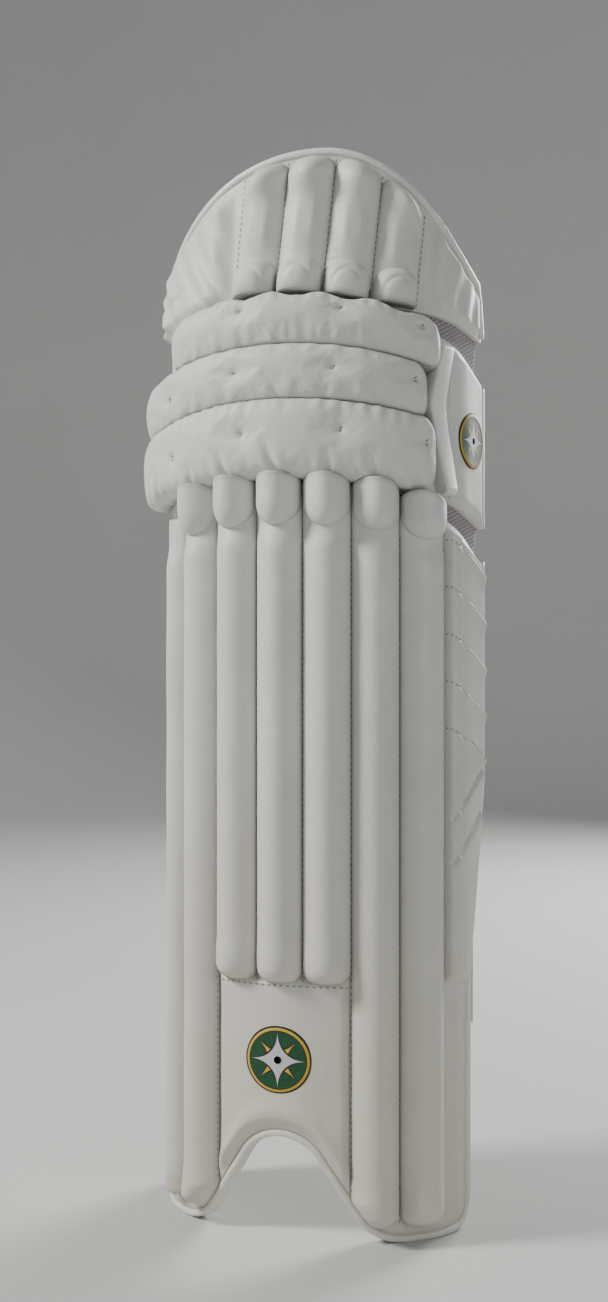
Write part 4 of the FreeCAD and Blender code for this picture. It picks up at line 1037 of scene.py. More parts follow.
def hat_lining_swell(along, z, u, v):
    one, two = quilt_lines(along, z)
    dip = np.exp(-((one / 2.2) ** 2)) + np.exp(-((two / 2.2) ** 2))
    puff = smooth(np.minimum(one, two), 0.0, 16.0) * 1.3
    pucker = ripple(along * 0.9, z * 0.25, 9.0, 51) * smooth(v, 0.55, 0.95) * 0.45
    rim = smooth(v, 1.0, 0.93)
    return 0.3 + (puff + pucker - 0.45 * np.minimum(dip, 1.0)) * rim + 0.2 * ripple(along, z, 26.0, 52)


lining_leather = leather("white_lining_leather", tint(0.70, 0.69, 0.66), tint(0.64, 0.63, 0.59), 0.4, 0.8)
lining_s = np.linspace(-S_EDGE + 3.5, S_EDGE - 3.5, 330)
lining_top = np.maximum(hat_high(lining_s, 3.0), hat_low(lining_s) + 0.5)
hat_floor = hat_low(lining_s, INNER_D) + 0.3
piece = panel(
    "hat_quilted_lining", lining_s, hat_floor, lining_top, 150, INNER_D + 0.5, hat_lining_swell,
    inside=True, leaning=True,
)
sew(piece, "top_hat", lining_leather, ["hat_lining"])


def plain_swell(along, z, u, v):
    return 0.5 + 0.25 * ripple(along, z, 30.0, 53)


knee_s = np.linspace(-S_EDGE + 3.0, S_EDGE - 3.0, 200)
knee_floor = knee_low(knee_s, INNER_D) + 0.5
knee_top = knee_high(knee_s, INNER_D - 1.0) - 0.6
piece = panel("knee_back_lining", knee_s, knee_floor, knee_top, 40, INNER_D + 0.5, plain_swell, inside=True)
sew(piece, "knee_section", lining_leather, ["knee_lining"])

basket = Finish("basket_embossed_lining", roughness=0.42, IOR=1.48)
across_mm, along_mm = basket.cloth()
CHECK = 8.6
DIAGONAL = 0.7071
turned_u = (across_mm + along_mm) * DIAGONAL
turned_v = (along_mm - across_mm) * DIAGONAL
cell_u, cell_v = turned_u / CHECK, turned_v / CHECK
odd = ((cell_u - cell_u.part()) + (cell_v - cell_v.part())) * 0.5
odd = (odd.part() - 0.25).step(0.0, 0.001)
ribs_u = (turned_u * (2 * math.pi * 3 / CHECK)).wave()
ribs_v = (turned_v * (2 * math.pi * 3 / CHECK)).wave()
ribs = ribs_u * odd + ribs_v * (1 - odd)
frame_u = (cell_u.part() - 0.5).size().step(0.40, 0.5)
frame_v = (cell_v.part() - 0.5).size().step(0.40, 0.5)
pressed = ribs * 0.5 + 0.5 - frame_u.greater(frame_v) * 0.8
worn = basket.noise(14.0, 4.0, 0.6).step(0.35, 0.7)
aged = basket.blend(worn, tint(0.66, 0.65, 0.60), tint(0.59, 0.575, 0.51))
basket.feed("Base Color", basket.blend(pressed.step(-0.4, 0.9), tint(0.40, 0.385, 0.33), aged))
basket.feed("Normal", basket.relief(pressed, 1.0, 1.0, over=basket.relief(basket.noise(120.0), 0.3, 0.5)))
basket.feed("Roughness", worn * 0.12 + 0.38)

shin_s = np.linspace(-S_EDGE + 3.0, S_EDGE - 3.0, 260)
shin_floor = shin_low(shin_s, 3.0)
shin_top = shin_high(shin_s, INNER_D - 1.0) - 0.6


def shin_lining_swell(along, z, u, v):
    bump = 2.2 * np.exp(-(((np.abs(along) - 118.0) / 26.0) ** 2)) * smooth(z, 20.0, 50.0)
    return 0.6 + bump * smooth(z, 150.0, 110.0) + 0.45 * ripple(along, z, 38.0, 54)


piece = panel(
    "shin_back_lining", shin_s, shin_floor, shin_top, 120, INNER_D + 0.5, shin_lining_swell, inside=True
)
sew(piece, "shin_guard", basket, ["shin_lining"])

# ---- mesh bolsters inside the shin -----------------------------------------
# Two long bolsters of spacer mesh over soft foam lie beside the shin bone. Each tapers to a loose
# round tongue at the ankle.


def holes(u, v, pitch, low, high):
    """Rows of knitted holes set like bricks: 1 in a hole, 0 on the yarn between."""
    a, b = u / pitch, v / (pitch * 0.86)
    shifted = (a + 0.5).part() - 0.5
    first = (a.part() - 0.5) ** 2.0 + (b.part() - 0.5) * (b.part() - 0.5)
    second = shifted * shifted + ((b + 0.5).part() - 0.5) ** 2.0
    near = first.lesser(second)
    return 1 - near.step(low * low, high * high)


def spacer_mesh(name, yarn, aged, hole_tone, pitch, low=0.10, high=0.33):
    knit = Finish(name, roughness=0.85, Sheen_Weight=0.25, Sheen_Roughness=0.5)
    u, v = knit.cloth()
    wobble = knit.noise(160.0, 2.0) - 0.5
    open_here = holes(u + wobble * 0.7, v + wobble * 0.5, pitch, low, high)
    turn = 2 * math.pi / (pitch * 0.5)
    twist = ((u + v) * turn).wave() * ((u - v) * turn).wave()
    stain = knit.noise(11.0, 5.0, 0.6).step(0.38, 0.72)
    tone = knit.blend(stain, yarn, aged)
    tone = knit.blend(twist * 0.10 + 0.10, tone, tint(*(0.8 * c for c in yarn[:3])))
    knit.feed("Base Color", knit.blend(open_here * 0.85, tone, hole_tone))
    height = (1 - open_here) + twist * 0.18
    knit.feed("Normal", knit.relief(height, 0.45, 0.85, over=knit.relief(knit.noise(60.0), 0.5, 0.5)))
    knit.feed("Roughness", open_here * 0.1 + 0.82)
    return knit


shin_mesh = spacer_mesh(
    "shin_spacer_mesh", tint(0.60, 0.59, 0.56), tint(0.545, 0.52, 0.455), tint(0.27, 0.26, 0.24), 2.5
)
knee_mesh = spacer_mesh(
    "knee_spacer_mesh", tint(0.60, 0.58, 0.59), tint(0.56, 0.54, 0.53), tint(0.27, 0.25, 0.27), 2.4
)
coarse_mesh = spacer_mesh(
    "coarse_trim_mesh", tint(0.47, 0.44, 0.46), tint(0.43, 0.40, 0.42), tint(0.15, 0.13, 0.15),
    3.3, 0.14, 0.42,
)

# How far a bolster stands off, and the places of its two sides, on its tongue and above it.
BOLSTER_RISE = 22.0
TONGUE_SIDES = (40.0, 84.0)
BOLSTER_SIDES = (31.0, 99.5)
TONGUE_LENGTH = 92.0
for name, side, foot in (("outer", 1, 70.0), ("inner", -1, 78.0)):
    rows, cols = 230, 60
    u = spread(cols)[None, :]
    v = np.linspace(0, 1, rows)[:, None]
    top = shin_high(np.full((1, cols), side * 65.0)) - 12.5
    z = foot + (top - foot) * v ** 1.15
    open_out = smooth(z, foot, foot + TONGUE_LENGTH)
    inner_s, outer_s = (a + (b - a) * open_out for a, b in zip(TONGUE_SIDES, BOLSTER_SIDES))
    nose = tip(z, foot, 20.0)
    middle, half = (inner_s + outer_s) / 2, (outer_s - inner_s) / 2 * (0.25 + 0.75 * nose)
    s = side * (middle + half * (2 * u - 1))
    z = z + 0 * u
    top_nose = tip(top + 0.5 - z, 0.0, 9.0)
    lift = (BOLSTER_RISE - 3.0) * stuffed(u, 2.2, 0.6) * (0.1 + 0.9 * nose) * (0.3 + 0.7 * top_nose) + 2.4
    lift = lift * (1 + 0.03 * ripple(s, z, 70.0, 61)) + 0.35 * ripple(s, z, 19.0, 62 + side) * stuffed(u)
    piece = cover(name + "_shin_bolster_cover", s, z, lift, 0.3, inside=True)
    inflate(piece, sewn_down(rows, cols), 2.0, 1.5)
    sew(piece, "shin_guard", shin_mesh, [name + "_shin_bolster", "shin_bolster_foams"])

# ---- side rolls and centre panel -------------------------------------------
# Flat rolls of brushed loop fabric soften both wings. A strip of smooth white leather covers the foam
# between the bolsters and carries a printed column of plain diamonds.

loop = Finish("brushed_loop_fabric", roughness=0.95, Sheen_Weight=0.4, Sheen_Roughness=0.6)
fuzz = loop.noise(900.0, 4.0, 0.75)
nap = loop.noise(50.0, 3.0, 0.6).step(0.35, 0.7)
loop_tone = loop.blend(nap, tint(0.56, 0.545, 0.60), tint(0.60, 0.59, 0.635))
loop.feed("Base Color", loop.blend(fuzz.step(0.3, 0.75) * 0.35, loop_tone, tint(0.40, 0.385, 0.44)))
loop.feed("Normal", loop.relief(fuzz, 0.5, 0.6, over=loop.relief(loop.noise(30.0), 0.6, 0.5)))

SIDE_ROLL_FRONT = 104.5
SIDE_ROLL_BACK = 155.5
SIDE_ROLL_FOOT = 122.0
for name, side in (("outer", 1), ("inner", -1)):
    u = spread(44)[None, :]
    v = np.linspace(0, 1, 150)[:, None]
    s = side * (SIDE_ROLL_FRONT + (SIDE_ROLL_BACK - SIDE_ROLL_FRONT) * u) + 0 * v
    low = np.full_like(s, SIDE_ROLL_FOOT)
    if side > 0:
        low = np.maximum(low, shin_low(s, 7.0) + 1.0)
    top = shin_high(s) - 4.5
    z = low + (top - low) * v
    ends = tip(v, 0.0, 0.02) * tip(1 - v, 0.0, 0.02)
    lift = 9.6 * stuffed(u, 2.6, 0.5) * ends * (1 + 0.035 * ripple(s, z, 60.0, 66)) + 0.8
    piece = cover(name + "_side_roll", s, z, lift, 0.3, inside=True)
    sew(piece, "shin_guard", loop, ["wing_side_rolls"])

print_panel = leather("diamond_print_leather", tint(0.70, 0.70, 0.675), tint(0.66, 0.655, 0.62), 0.36, 0.5)
u_mm, v_mm = print_panel.cloth()
DIAMOND_PITCH = 47.0
DIAMOND_HALF_WIDTH = 20.0
DIAMOND_HALF_HEIGHT = 23.0
cell = ((v_mm - 146.0) / DIAMOND_PITCH).part() - 0.5
reach = u_mm.size() / DIAMOND_HALF_WIDTH + cell.size() * (DIAMOND_PITCH / DIAMOND_HALF_HEIGHT)
inside = 1 - reach.step(0.74, 0.76)
outline = (1 - reach.step(0.98, 1.0)) - inside
core = 1 - reach.step(0.22, 0.24)
core_line = (1 - reach.step(0.42, 0.44)) - core
shown = v_mm.step(160.0, 161.0) * (1 - v_mm.step(446.0, 447.0))
white_tone = print_panel.surface.inputs["Base Color"].links[0].from_socket
ground = Field(print_panel, white_tone)
glitter = print_panel.cells(240.0).step(0.1, 0.7)
foil = print_panel.blend(glitter, tint(0.55, 0.56, 0.58), tint(0.36, 0.37, 0.39))
foiled = inside * shown * (1 - core)
printed = print_panel.blend(foiled, ground, foil)
ink = outline.greater(core_line).greater(0.0) * shown
printed = print_panel.blend(ink, printed, tint(0.012, 0.012, 0.014))
print_panel.feed("Base Color", printed)
print_panel.feed("Metallic", foiled * 0.55)

CENTRE_HALF = 28.0
CENTRE_FOOT = 140.0
CENTRE_TOP = 466.0
centre_s = np.linspace(-CENTRE_HALF, CENTRE_HALF, 60)


def centre_swell(along, z, u, v):
    edge = np.minimum(smooth(u, 0.0, 0.05), smooth(u, 1.0, 0.95))
    edge = edge * smooth(v, 0.0, 0.01) * smooth(v, 1.0, 0.99)
    return 0.3 + 1.2 * edge + 0.3 * ripple(along, z, 40.0, 67) * edge


low, high = np.full(60, CENTRE_FOOT), np.full(60, CENTRE_TOP)
piece = panel("shin_centre_strip", centre_s, low, high, 160, INNER_D, centre_swell, inside=True)
sew(piece, "shin_guard", print_panel, ["shin_centre_panel"])

# ---- knee bolsters, knee cup -----------------------------------------------
# Two fat mesh bolsters hold the knee from both sides. Their open edges are bound with a coarser grey
# mesh. Between them a plain round-topped leather cup covers the knee cap's seat.

KNEE_PAD_RISE = 22.5
KNEE_PAD_EDGE = 149.5


def knee_pad_point(side, u, v):
    """Place and height off the lining of a knee bolster, u from its inner to its outer edge."""
    inner_s = 22.0 + 6.5 * np.sin(math.pi * np.clip(v, 0, 1) ** 0.8)
    s = side * (inner_s + (KNEE_PAD_EDGE - inner_s) * u)
    y = depth(s, -12.0)
    low = knee_low(s, -12.0) + 2.0
    high = 574.0 - y * math.tan(math.radians(16.5)) - 5.0 * np.exp(-((u / 0.06) ** 2))
    z = low + (high - low) * v
    full = stuffed(np.clip(u, 0, 1), 3.2, 0.5) * stuffed(np.clip(v, 0, 1), 3.0, 0.5)
    lift = 2.0 + (KNEE_PAD_RISE - 3.0) * full * (1 - 0.45 * smooth(u, 0.55, 1.0))
    return s, z, lift * (1 + 0.03 * ripple(s, z, 50.0, 71))


for name, side in (("outer", 1), ("inner", -1)):
    rows, cols = 60, 110
    u, v = spread(cols)[None, :], spread(rows)[:, None]
    s, z, lift = knee_pad_point(side, u, v)
    piece = cover(name + "_knee_bolster", s, z, lift, 0.3, inside=True)
    bound = (u + 0 * v < 0.10) | (v + 0 * u > 0.86) | (v + 0 * u < 0.10) | (u + 0 * v > 0.97)
    held = set(np.flatnonzero(bound)) | set(range(rows * cols, 2 * rows * cols))
    inflate(piece, held, 2.0, 1.6)
    sew(piece, "knee_section", knee_mesh, ["knee_side_pads", "knee_pad_foams"])
    edges = {
        "top": (np.linspace(0.0, 1.0, 110)[None, :], np.linspace(0.87, 1.0, 12)[:, None]),
        "hem": (np.linspace(0.0, 1.0, 110)[None, :], np.linspace(0.0, 0.085, 10)[:, None]),
        "inner": (np.linspace(0.0, 0.06, 10)[None, :], np.linspace(0.0, 0.9, 60)[:, None]),
    }
    for edge, (u, v) in edges.items():
        s, z, lift = knee_pad_point(side, u, v)
        crown = 0.9 * np.minimum(smooth(v, v.min(), v.min() + 0.02), 1.0)
        if edge == "inner":
            crown = 0.9 * smooth(u, 0.06, 0.05)
        piece = grid_object(
            "%s_knee_bolster_%s_band" % (name, edge), place(s, z, INNER_D - lift - crown),
            place(s, z, INNER_D - np.maximum(lift - 0.8, 0.0)), np.stack([s, z], -1), flip=side > 0,
        )
        sew(piece, "knee_section", coarse_mesh, ["knee_side_pads"])

CUP_FOOT = 487.0
CUP_TOP = 537.0
CUP_HALF = 20.5
cup_u, cup_v = np.linspace(-1, 1, 40)[None, :], np.linspace(0, 1, 50)[:, None]
cup_half = CUP_HALF * (0.02 + 0.98 * np.sqrt(np.clip(1 - ((cup_v - 0.62) / 0.38).clip(0, 1) ** 2, 0, 1)))
cup_s = cup_half * cup_u
cup_z = CUP_FOOT + (CUP_TOP - CUP_FOOT) * cup_v + 0 * cup_u
cup_lift = 0.4 + 2.4 * np.clip(1 - np.abs(cup_u) ** 4, 0, 1) ** 0.5 * smooth(cup_v, 1.0, 0.86)
piece = cover("knee_cup_cover", cup_s, cup_z, cup_lift, 0.3, inside=True)
sew(piece, "knee_section", lining_leather, ["knee_cup_panel"])

# ---- gussets at the two bends ----------------------------------------------
# A strip of soft fabric bridges the wedge-shaped gap at each bend. It is cut with a little slack.


def gusset(name, start, end, bodies, low_point, high_point):
    s = np.linspace(-S_EDGE + 2.5, S_EDGE - 2.5, 180)[None, :]
    v = np.linspace(0, 1, 22)[:, None]
    low, high = low_point(s), high_point(s)
    gap = np.linalg.norm(high - low, axis=-1)
    out = place(s, 0.0, 1.0) - place(s, 0.0, 0.0)
    slack = np.sin(math.pi * v) * np.clip(gap * 0.14, 0, 0.003) - 0.0003 * np.sin(4 * math.pi * v)
    base = low[0][None] + (high - low)[0][None] * v[..., None]
    layers = [base + out * (slack / 0.001)[..., None] * -1.0 + out * d for d in (-1.2, -3.6)]
    spots = np.stack([s + 0 * v, gap * 1000 * v + 0 * s], -1)
    piece = grid_object(name, layers[0], layers[1], spots)
    piece.data.materials.append(coarse_mesh.material)
    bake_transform(piece)
    return piece


FOLD_BACK = 0.050
FOLD_HALF = 0.0065


def fold_ends(z, tilt):
    """Two points a little apart, behind the nose at height z, on a line tilted back by tilt degrees."""
    middle = place(0.0, z, 0.0) + np.array([0.0, FOLD_BACK, 0.0])
    way = np.array([0.0, math.sin(math.radians(tilt)), math.cos(math.radians(tilt))])
    return middle - FOLD_HALF * way, middle + FOLD_HALF * way


piece = gusset(
    "knee_bend_fold", *fold_ends(459.0, 22.0), ("shin_guard", "knee_section"),
    lambda s: place(s, shin_high(s) - 1.0, 0.0), lambda s: place(s, knee_low(s) + 1.0, 0.0),
)
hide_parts("knee_bend_gussets")
piece = gusset(
    "hat_bend_fold", *fold_ends(575.0, 16.2), ("knee_section", "top_hat"),
    lambda s: place(s, knee_high(s) - 1.0, 0.0), lambda s: lean(place(s, hat_low(s) + 1.0, 0.0)),
)
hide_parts("hat_bend_gussets")

# ---- badges ----------------------------------------------------------------
# Round padded badges are sewn on the instep, the outer knee wing and inside the top hat: a green
# field with a gold rim and a plain four-pointed figure.


def badge_finish(name, radius):
    """Printed film over a thin pad, drawn from the distance to the badge's middle."""
    film = Finish(name, roughness=0.35, IOR=1.5)
    u, v = film.cloth()
    away = ((u * u + v * v) ** 0.5) / radius
    star = (u.size() / (0.86 * radius)) ** 0.52 + (v.size() / (0.86 * radius)) ** 0.52
    tilt_u, tilt_v = (u + v).size() * (DIAGONAL / radius), (u - v).size() * (DIAGONAL / radius)
    small_star = (tilt_u / 0.84) ** 0.5 + (tilt_v / 0.84) ** 0.5
    field = film.blend(film.cells(700.0).step(0.1, 0.6), tint(0.002, 0.034, 0.010), tint(0.004, 0.066, 0.020))
    tone = film.blend(1 - small_star.step(1.03, 1.06), field, tint(0.008, 0.008, 0.01))
    tone = film.blend(1 - small_star.step(0.94, 0.97), tone, tint(0.62, 0.40, 0.015))
    tone = film.blend(1 - star.step(1.06, 1.09), tone, tint(0.012, 0.012, 0.014))
    tone = film.blend(1 - star.step(0.97, 1.0), tone, tint(0.52, 0.53, 0.54))
    tone = film.blend(away.step(0.83, 0.84), tone, tint(0.012, 0.012, 0.014))
    tone = film.blend(away.step(0.86, 0.87), tone, tint(0.60, 0.38, 0.02))
    tone = film.blend(away.step(0.93, 0.94), tone, tint(0.014, 0.014, 0.016))
    film.feed("Base Color", tone)
    film.feed("Normal", film.relief(film.noise(1500.0, 2.0), 0.10, 0.6))
    film.feed("Roughness", film.noise(60.0) * 0.15 + 0.45)
    return film


def badge(name, s0, z0, radius, base, body, stands_for, inside=False, leaning=False):
    rings, count = 16, 72
    turn = np.linspace(0, 2 * math.pi, count + 1)[None, :]
    reach = (np.linspace(0.0, 1.0, rings)[:, None]) ** 0.8
    s = s0 + radius * reach * np.cos(turn)
    z = z0 + radius * reach * np.sin(turn)
    side = -1.0 if inside else 1.0
    dome = 0.15 + 0.9 * np.sqrt(np.clip(1 - reach**8, 0, 1)) + 0.35 * np.exp(-(((reach - 0.86) / 0.05) ** 2))
    outer = place(s, z, base + side * dome)
    inner = place(s, z, base - side * 0.4 + 0 * s)
    if leaning:
        outer, inner = lean(outer), lean(inner)
    mesh_points = np.concatenate([outer[:, :-1].reshape(-1, 3), inner[:, :-1].reshape(-1, 3)])
    faces = []
    for layer, way in ((0, side), (rings * count, -side)):
        for i in range(1, rings - 1):
            for j in range(count):
                k = (j + 1) % count
                quad = (i * count + j, (i + 1) * count + j, (i + 1) * count + k, i * count + k)
                quad = quad if way < 0 else quad[::-1]
                faces.append(tuple(q + layer for q in quad))
        ring = [count + j + layer for j in range(count)]
        faces.append(tuple(ring if way > 0 else ring[::-1]))
    last = (rings - 1) * count
    for j in range(count):
        k = (j + 1) % count
        quad = (last + j, last + rings * count + j, last + rings * count + k, last + k)
        faces.append(quad if side > 0 else quad[::-1])
    used = sorted({i for face in faces for i in face})
    renumber = {old: new for new, old in enumerate(used)}
    mesh = bpy.data.meshes.new(name)
    mesh.from_pydata(mesh_points[used].tolist(), [], [tuple(renumber[i] for i in face) for face in faces])
    layer = mesh.uv_layers.new(name="cloth")
    spots = np.stack([(s - s0)[:, :-1], (z - z0)[:, :-1]], -1).reshape(-1, 2)
    spots = np.tile(spots, (2, 1))[used] * 0.001
    corner = np.empty(len(mesh.loops), np.int32)
    mesh.loops.foreach_get("vertex_index", corner)
    layer.data.foreach_set("uv", spots[corner].astype(np.float32).ravel())
    mesh.shade_smooth()
    sew(put(name, mesh), body, badge_finish(name + "_film", radius), [stands_for])


badge("instep_round_badge", 0.0, 115.0, 21.5, OUTER_D + 3.9, "shin_guard", "instep_badge")
badge("wing_round_badge", 135.0, 508.0, 18.6, OUTER_D + 3.3, "knee_section", "wing_badge")
CREST_Z = 634.0
CREST_RADIUS = 32.5
badge(
    "crest_round_badge", 0.0, CREST_Z, CREST_RADIUS, INNER_D - 1.0, "top_hat", "crest_badge",
    inside=True, leaning=True,
)

# ---- straps ----------------------------------------------------------------
# Three woven straps close behind the leg. Each is sewn round one bar of a moulded ring, a short
# keeper holds the ring's other bar to the inner wing, and a leather tab with hook tape grips a patch
# of loop tape on the outer wing.

WING_BACK_Y = float(depth(S_EDGE))
STRAP_Y = WING_BACK_Y + 2.5
PATCH_EDGE_X = float(across(S_EDGE, OUTER_D)) + 1.0
KEEPER_BAR_X = 16.0 - PATCH_EDGE_X
RING_PITCH = 20.0
STRAP_BAR_X = KEEPER_BAR_X + RING_PITCH
EYE = 1.75
WEB = 1.6
FACE_Y = STRAP_Y + EYE
STRAPS = {
    # height, width, tab inset, tab length, patch width, patch inset, body that holds it
    "upper": (479.0, 34.0, 40.0, 19.0, 40.0, 56.0, "knee_section"),
    "middle": (352.0, 52.0, 78.0, 50.0, 56.0, 84.0, "shin_guard"),
    "bottom": (160.0, 58.0, 52.0, 23.0, 64.0, 70.0, "shin_guard"),
}


def woven(name, yarn, aged, pitch):
    """Flat woven webbing: two slanted sets of yarns, darker between them."""
    web = Finish(name, roughness=0.8, Sheen_Weight=0.2)
    u, v = web.cloth()
    turn = 2 * math.pi / pitch
    weave = ((u + v) * turn).wave() * ((u - v) * turn).wave()
    fibre = web.noise(1300.0, 2.0)
    stain = web.noise(18.0, 5.0, 0.6).step(0.38, 0.7)
    tone = web.blend(stain, yarn, aged)
    web.feed("Base Color", web.blend(weave.step(-1.0, 0.1), tint(*(0.55 * c for c in yarn[:3])), tone))
    web.feed("Normal", web.relief(weave + fibre * 0.3, 0.32, 0.8, over=web.relief(web.noise(35.0), 0.5, 0.5)))
    return web


strap_weave = woven("strap_webbing", tint(0.61, 0.59, 0.55), tint(0.55, 0.52, 0.46), 2.6)
keeper_weave = woven("keeper_webbing", tint(0.60, 0.59, 0.57), tint(0.55, 0.535, 0.50), 1.8)


def ribbon(name, path, z, width, thick):
    """A flat strap of rounded section whose middle follows path, a list of (x, y) in mm."""
    path = np.asarray(path, float)
    way = np.gradient(path, axis=0)
    way /= np.linalg.norm(way, axis=1, keepdims=True)
    side = np.stack([-way[:, 1], way[:, 0]], -1)
    turn = np.linspace(0, 2 * math.pi, 30, endpoint=False) + 0.05
    up = width / 2 * squared(np.cos(turn), 0.16)
    out = thick / 2 * squared(np.sin(turn), 0.4)
    length = np.concatenate([[0], np.cumsum(np.linalg.norm(np.diff(path, axis=0), axis=1))])
    fray = 0.22 * ripple(length, 0 * length, 14.0, int(z))[:, None] * np.sign(up)[None, :]
    x = path[:, None, 0] + side[:, None, 0] * out[None, :] + NOSE_X
    y = path[:, None, 1] + side[:, None, 1] * out[None, :] + NOSE_Y
    rings = np.stack([x, y, z + up[None, :] + fray], -1) * 0.001
    count, around = rings.shape[:2]
    faces, spots = [], []
    for i in range(count - 1):
        for j in range(around):
            k = (j + 1) % around
            faces.append((i * around + j, (i + 1) * around + j, (i + 1) * around + k, i * around + k))
            spots += [(length[i], up[j]), (length[i + 1], up[j]), (length[i + 1], up[k]), (length[i], up[k])]
    faces += [tuple(range(around)), tuple((count - 1) * around + j for j in range(around))[::-1]]
    spots += [(length[0], up[j]) for j in range(around)] + [(length[-1], up[j]) for j in range(around)][::-1]
    mesh = bpy.data.meshes.new(name)
    mesh.from_pydata(rings.reshape(-1, 3).tolist(), [], faces)
    layer = mesh.uv_layers.new(name="cloth")
    layer.data.foreach_set("uv", (np.array(spots) * 0.001).astype(np.float32).ravel())
    mesh.shade_smooth()
    mesh.set_sharp_from_angle(angle=math.radians(55))
    return put(name, mesh)


def eye_path(x, way):
    """Round a ring bar and back past it: from behind the bar, round its far side, to its front."""
    mid = EYE + WEB / 2
    route = []
    for t in np.linspace(15.5, 2.5, 12):
        route.append((x + way * t, STRAP_Y - mid + (2 * mid - WEB) * (t / 16.0) ** 1.5))
    for a in np.linspace(0, math.pi, 20):
        route.append((x - way * mid * math.sin(a), STRAP_Y - mid * math.cos(a)))
    return route


def bow(x, x0, x1):
    """A strap stands off the leg a little in the middle of its run."""
    t = np.clip((np.asarray(x, float) - x0) / (x1 - x0), 0, 1)
    return 1.3 * np.sin(math.pi * t)


for name, (z, width, tab_inset, tab_length, patch_width, patch_inset, body) in STRAPS.items():
    tab_x = PATCH_EDGE_X - tab_inset
    run = np.linspace(STRAP_BAR_X + 3.0, tab_x - 0.5, 60)
    route = eye_path(STRAP_BAR_X, 1) + [(x, FACE_Y + WEB / 2 + bow(x, STRAP_BAR_X, tab_x)) for x in run]
    piece = ribbon(name + "_strap_webbing", route, z, width - 0.5, WEB)
    sew(piece, name + "_strap", strap_weave, [name + "_strap"])
    held_x = -PATCH_EDGE_X
    route = eye_path(KEEPER_BAR_X, -1) + [
        (x, FACE_Y + WEB / 2) for x in np.linspace(KEEPER_BAR_X - 3.0, held_x + 3.0, 10)
    ] + [(held_x + 1.4, FACE_Y - 0.2), (held_x + 0.8, FACE_Y - 2.4), (held_x + 0.8, WING_BACK_Y + 1.2)]
    piece = ribbon(name + "_keeper_webbing", route, z, width - 2.2, WEB)
    sew(piece, body, keeper_weave, [name + "_ring_keeper"])
    patch_x = PATCH_EDGE_X - patch_inset
    face = STRAP_Y + EYE - 1.3 - 0.75
    if name == "bottom":
        route = [(x, face) for x in np.linspace(patch_x, PATCH_EDGE_X - 19.5, 16)]
        route += [(PATCH_EDGE_X - 17.0, face - 1.0), (PATCH_EDGE_X - 14.6, face - 3.6)]
        route += [(PATCH_EDGE_X - 14.6 + 10.6 * t, face - 3.6 - 17.0 * t) for t in np.linspace(0.1, 1, 10)]
    else:
        route = [(x, face) for x in np.linspace(patch_x, PATCH_EDGE_X - 3.2, 24)]
        route += [(PATCH_EDGE_X - 1.5, face - 0.6), (PATCH_EDGE_X - 0.9, face - 1.7)]
    piece = ribbon(name + "_loop_tape", route, z, patch_width - 0.5, 1.5)
    sew(piece, body, loop, [name + "_loop_patch"])
    u, v = np.linspace(0, 1, 70)[None, :], np.linspace(-1, 1, 110)[:, None]
    nose = min(width * 0.46, tab_length * 0.9)
    beyond = np.clip(np.abs(v) * width / 2 - (width / 2 - nose), 0, nose)
    end_x = tab_x + tab_length - nose + np.sqrt(np.clip(nose**2 - beyond**2, 0, None))
    x = tab_x + (end_x - tab_x) * u
    height = z + v * (width / 2 - 0.15) + 0 * u
    rim = np.minimum(smooth(u, 1.0, 0.94), smooth(np.abs(v), 1.0, 0.96))
    from_edge = np.minimum((end_x - x), (1 - np.abs(v)) * width / 2)
    ridges = 0.45 * sum(np.exp(-(((from_edge - inset) / 0.8) ** 2)) for inset in (3.2, 6.4, 9.6))
    top = FACE_Y + 0.6 + 1.6 * rim - ridges * (from_edge > 1.2)
    outer = np.stack([x + NOSE_X, top + NOSE_Y + 0 * x, height], -1) * 0.001
    inner = np.stack([x + NOSE_X, np.full_like(x, FACE_Y + 0.02 + NOSE_Y), height], -1) * 0.001
    piece = grid_object(name + "_tab_leather", outer, inner, np.stack([x, height], -1), flip=True)
    piece.data.materials.append(binding_leather.material)
    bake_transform(piece)
    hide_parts(name + "_strap_tab")

# ---- middle strap's edging and label ---------------------------------------
# The middle strap is edged with strips of white leather and carries a sewn label with plain stripes.

middle_z, middle_width = STRAPS["middle"][:2]
middle_tab = PATCH_EDGE_X - STRAPS["middle"][2]
for name, offset in (("upper", 1), ("lower", -1)):
    run = np.linspace(STRAP_BAR_X + 6.0, middle_tab - 0.6, 60)
    route = [(x, FACE_Y + WEB + 0.15 + bow(x, STRAP_BAR_X, middle_tab)) for x in run]
    edging_z = middle_z + offset * (middle_width / 2 - 3.6)
    piece = ribbon("middle_strap_%s_edging" % name, route, edging_z, 7.0, 0.8)
    sew(piece, "middle_strap", binding_leather)

label = leather("striped_label_leather", tint(0.66, 0.655, 0.63), tint(0.62, 0.61, 0.58), 0.38, 0.5)
label_u, label_v = label.cloth()
stripe = (label_v.step(6.5, 6.8) - label_v.step(9.3, 9.6)) * (1 - label_u.step(-2.0, -1.0))
silver = (label_v.step(0.4, 0.7) - label_v.step(4.0, 4.3)) * (1 - label_u.step(-2.0, -1.0))
divide = label_u.step(0.6, 0.8) - label_u.step(1.6, 1.8)
gem = (label_u - 15.0).size() / 11.0 + label_v.size() / 9.0
gem_face = 1 - gem.step(0.76, 0.78)
gem_line = (1 - gem.step(0.98, 1.0)) - gem_face
label_base = Field(label, label.surface.inputs["Base Color"].links[0].from_socket)
tone = label.blend(stripe, label_base, tint(0.62, 0.45, 0.06))
tone = label.blend(silver, tone, tint(0.40, 0.41, 0.43))
tone = label.blend(gem_face, tone, tint(0.46, 0.47, 0.48))
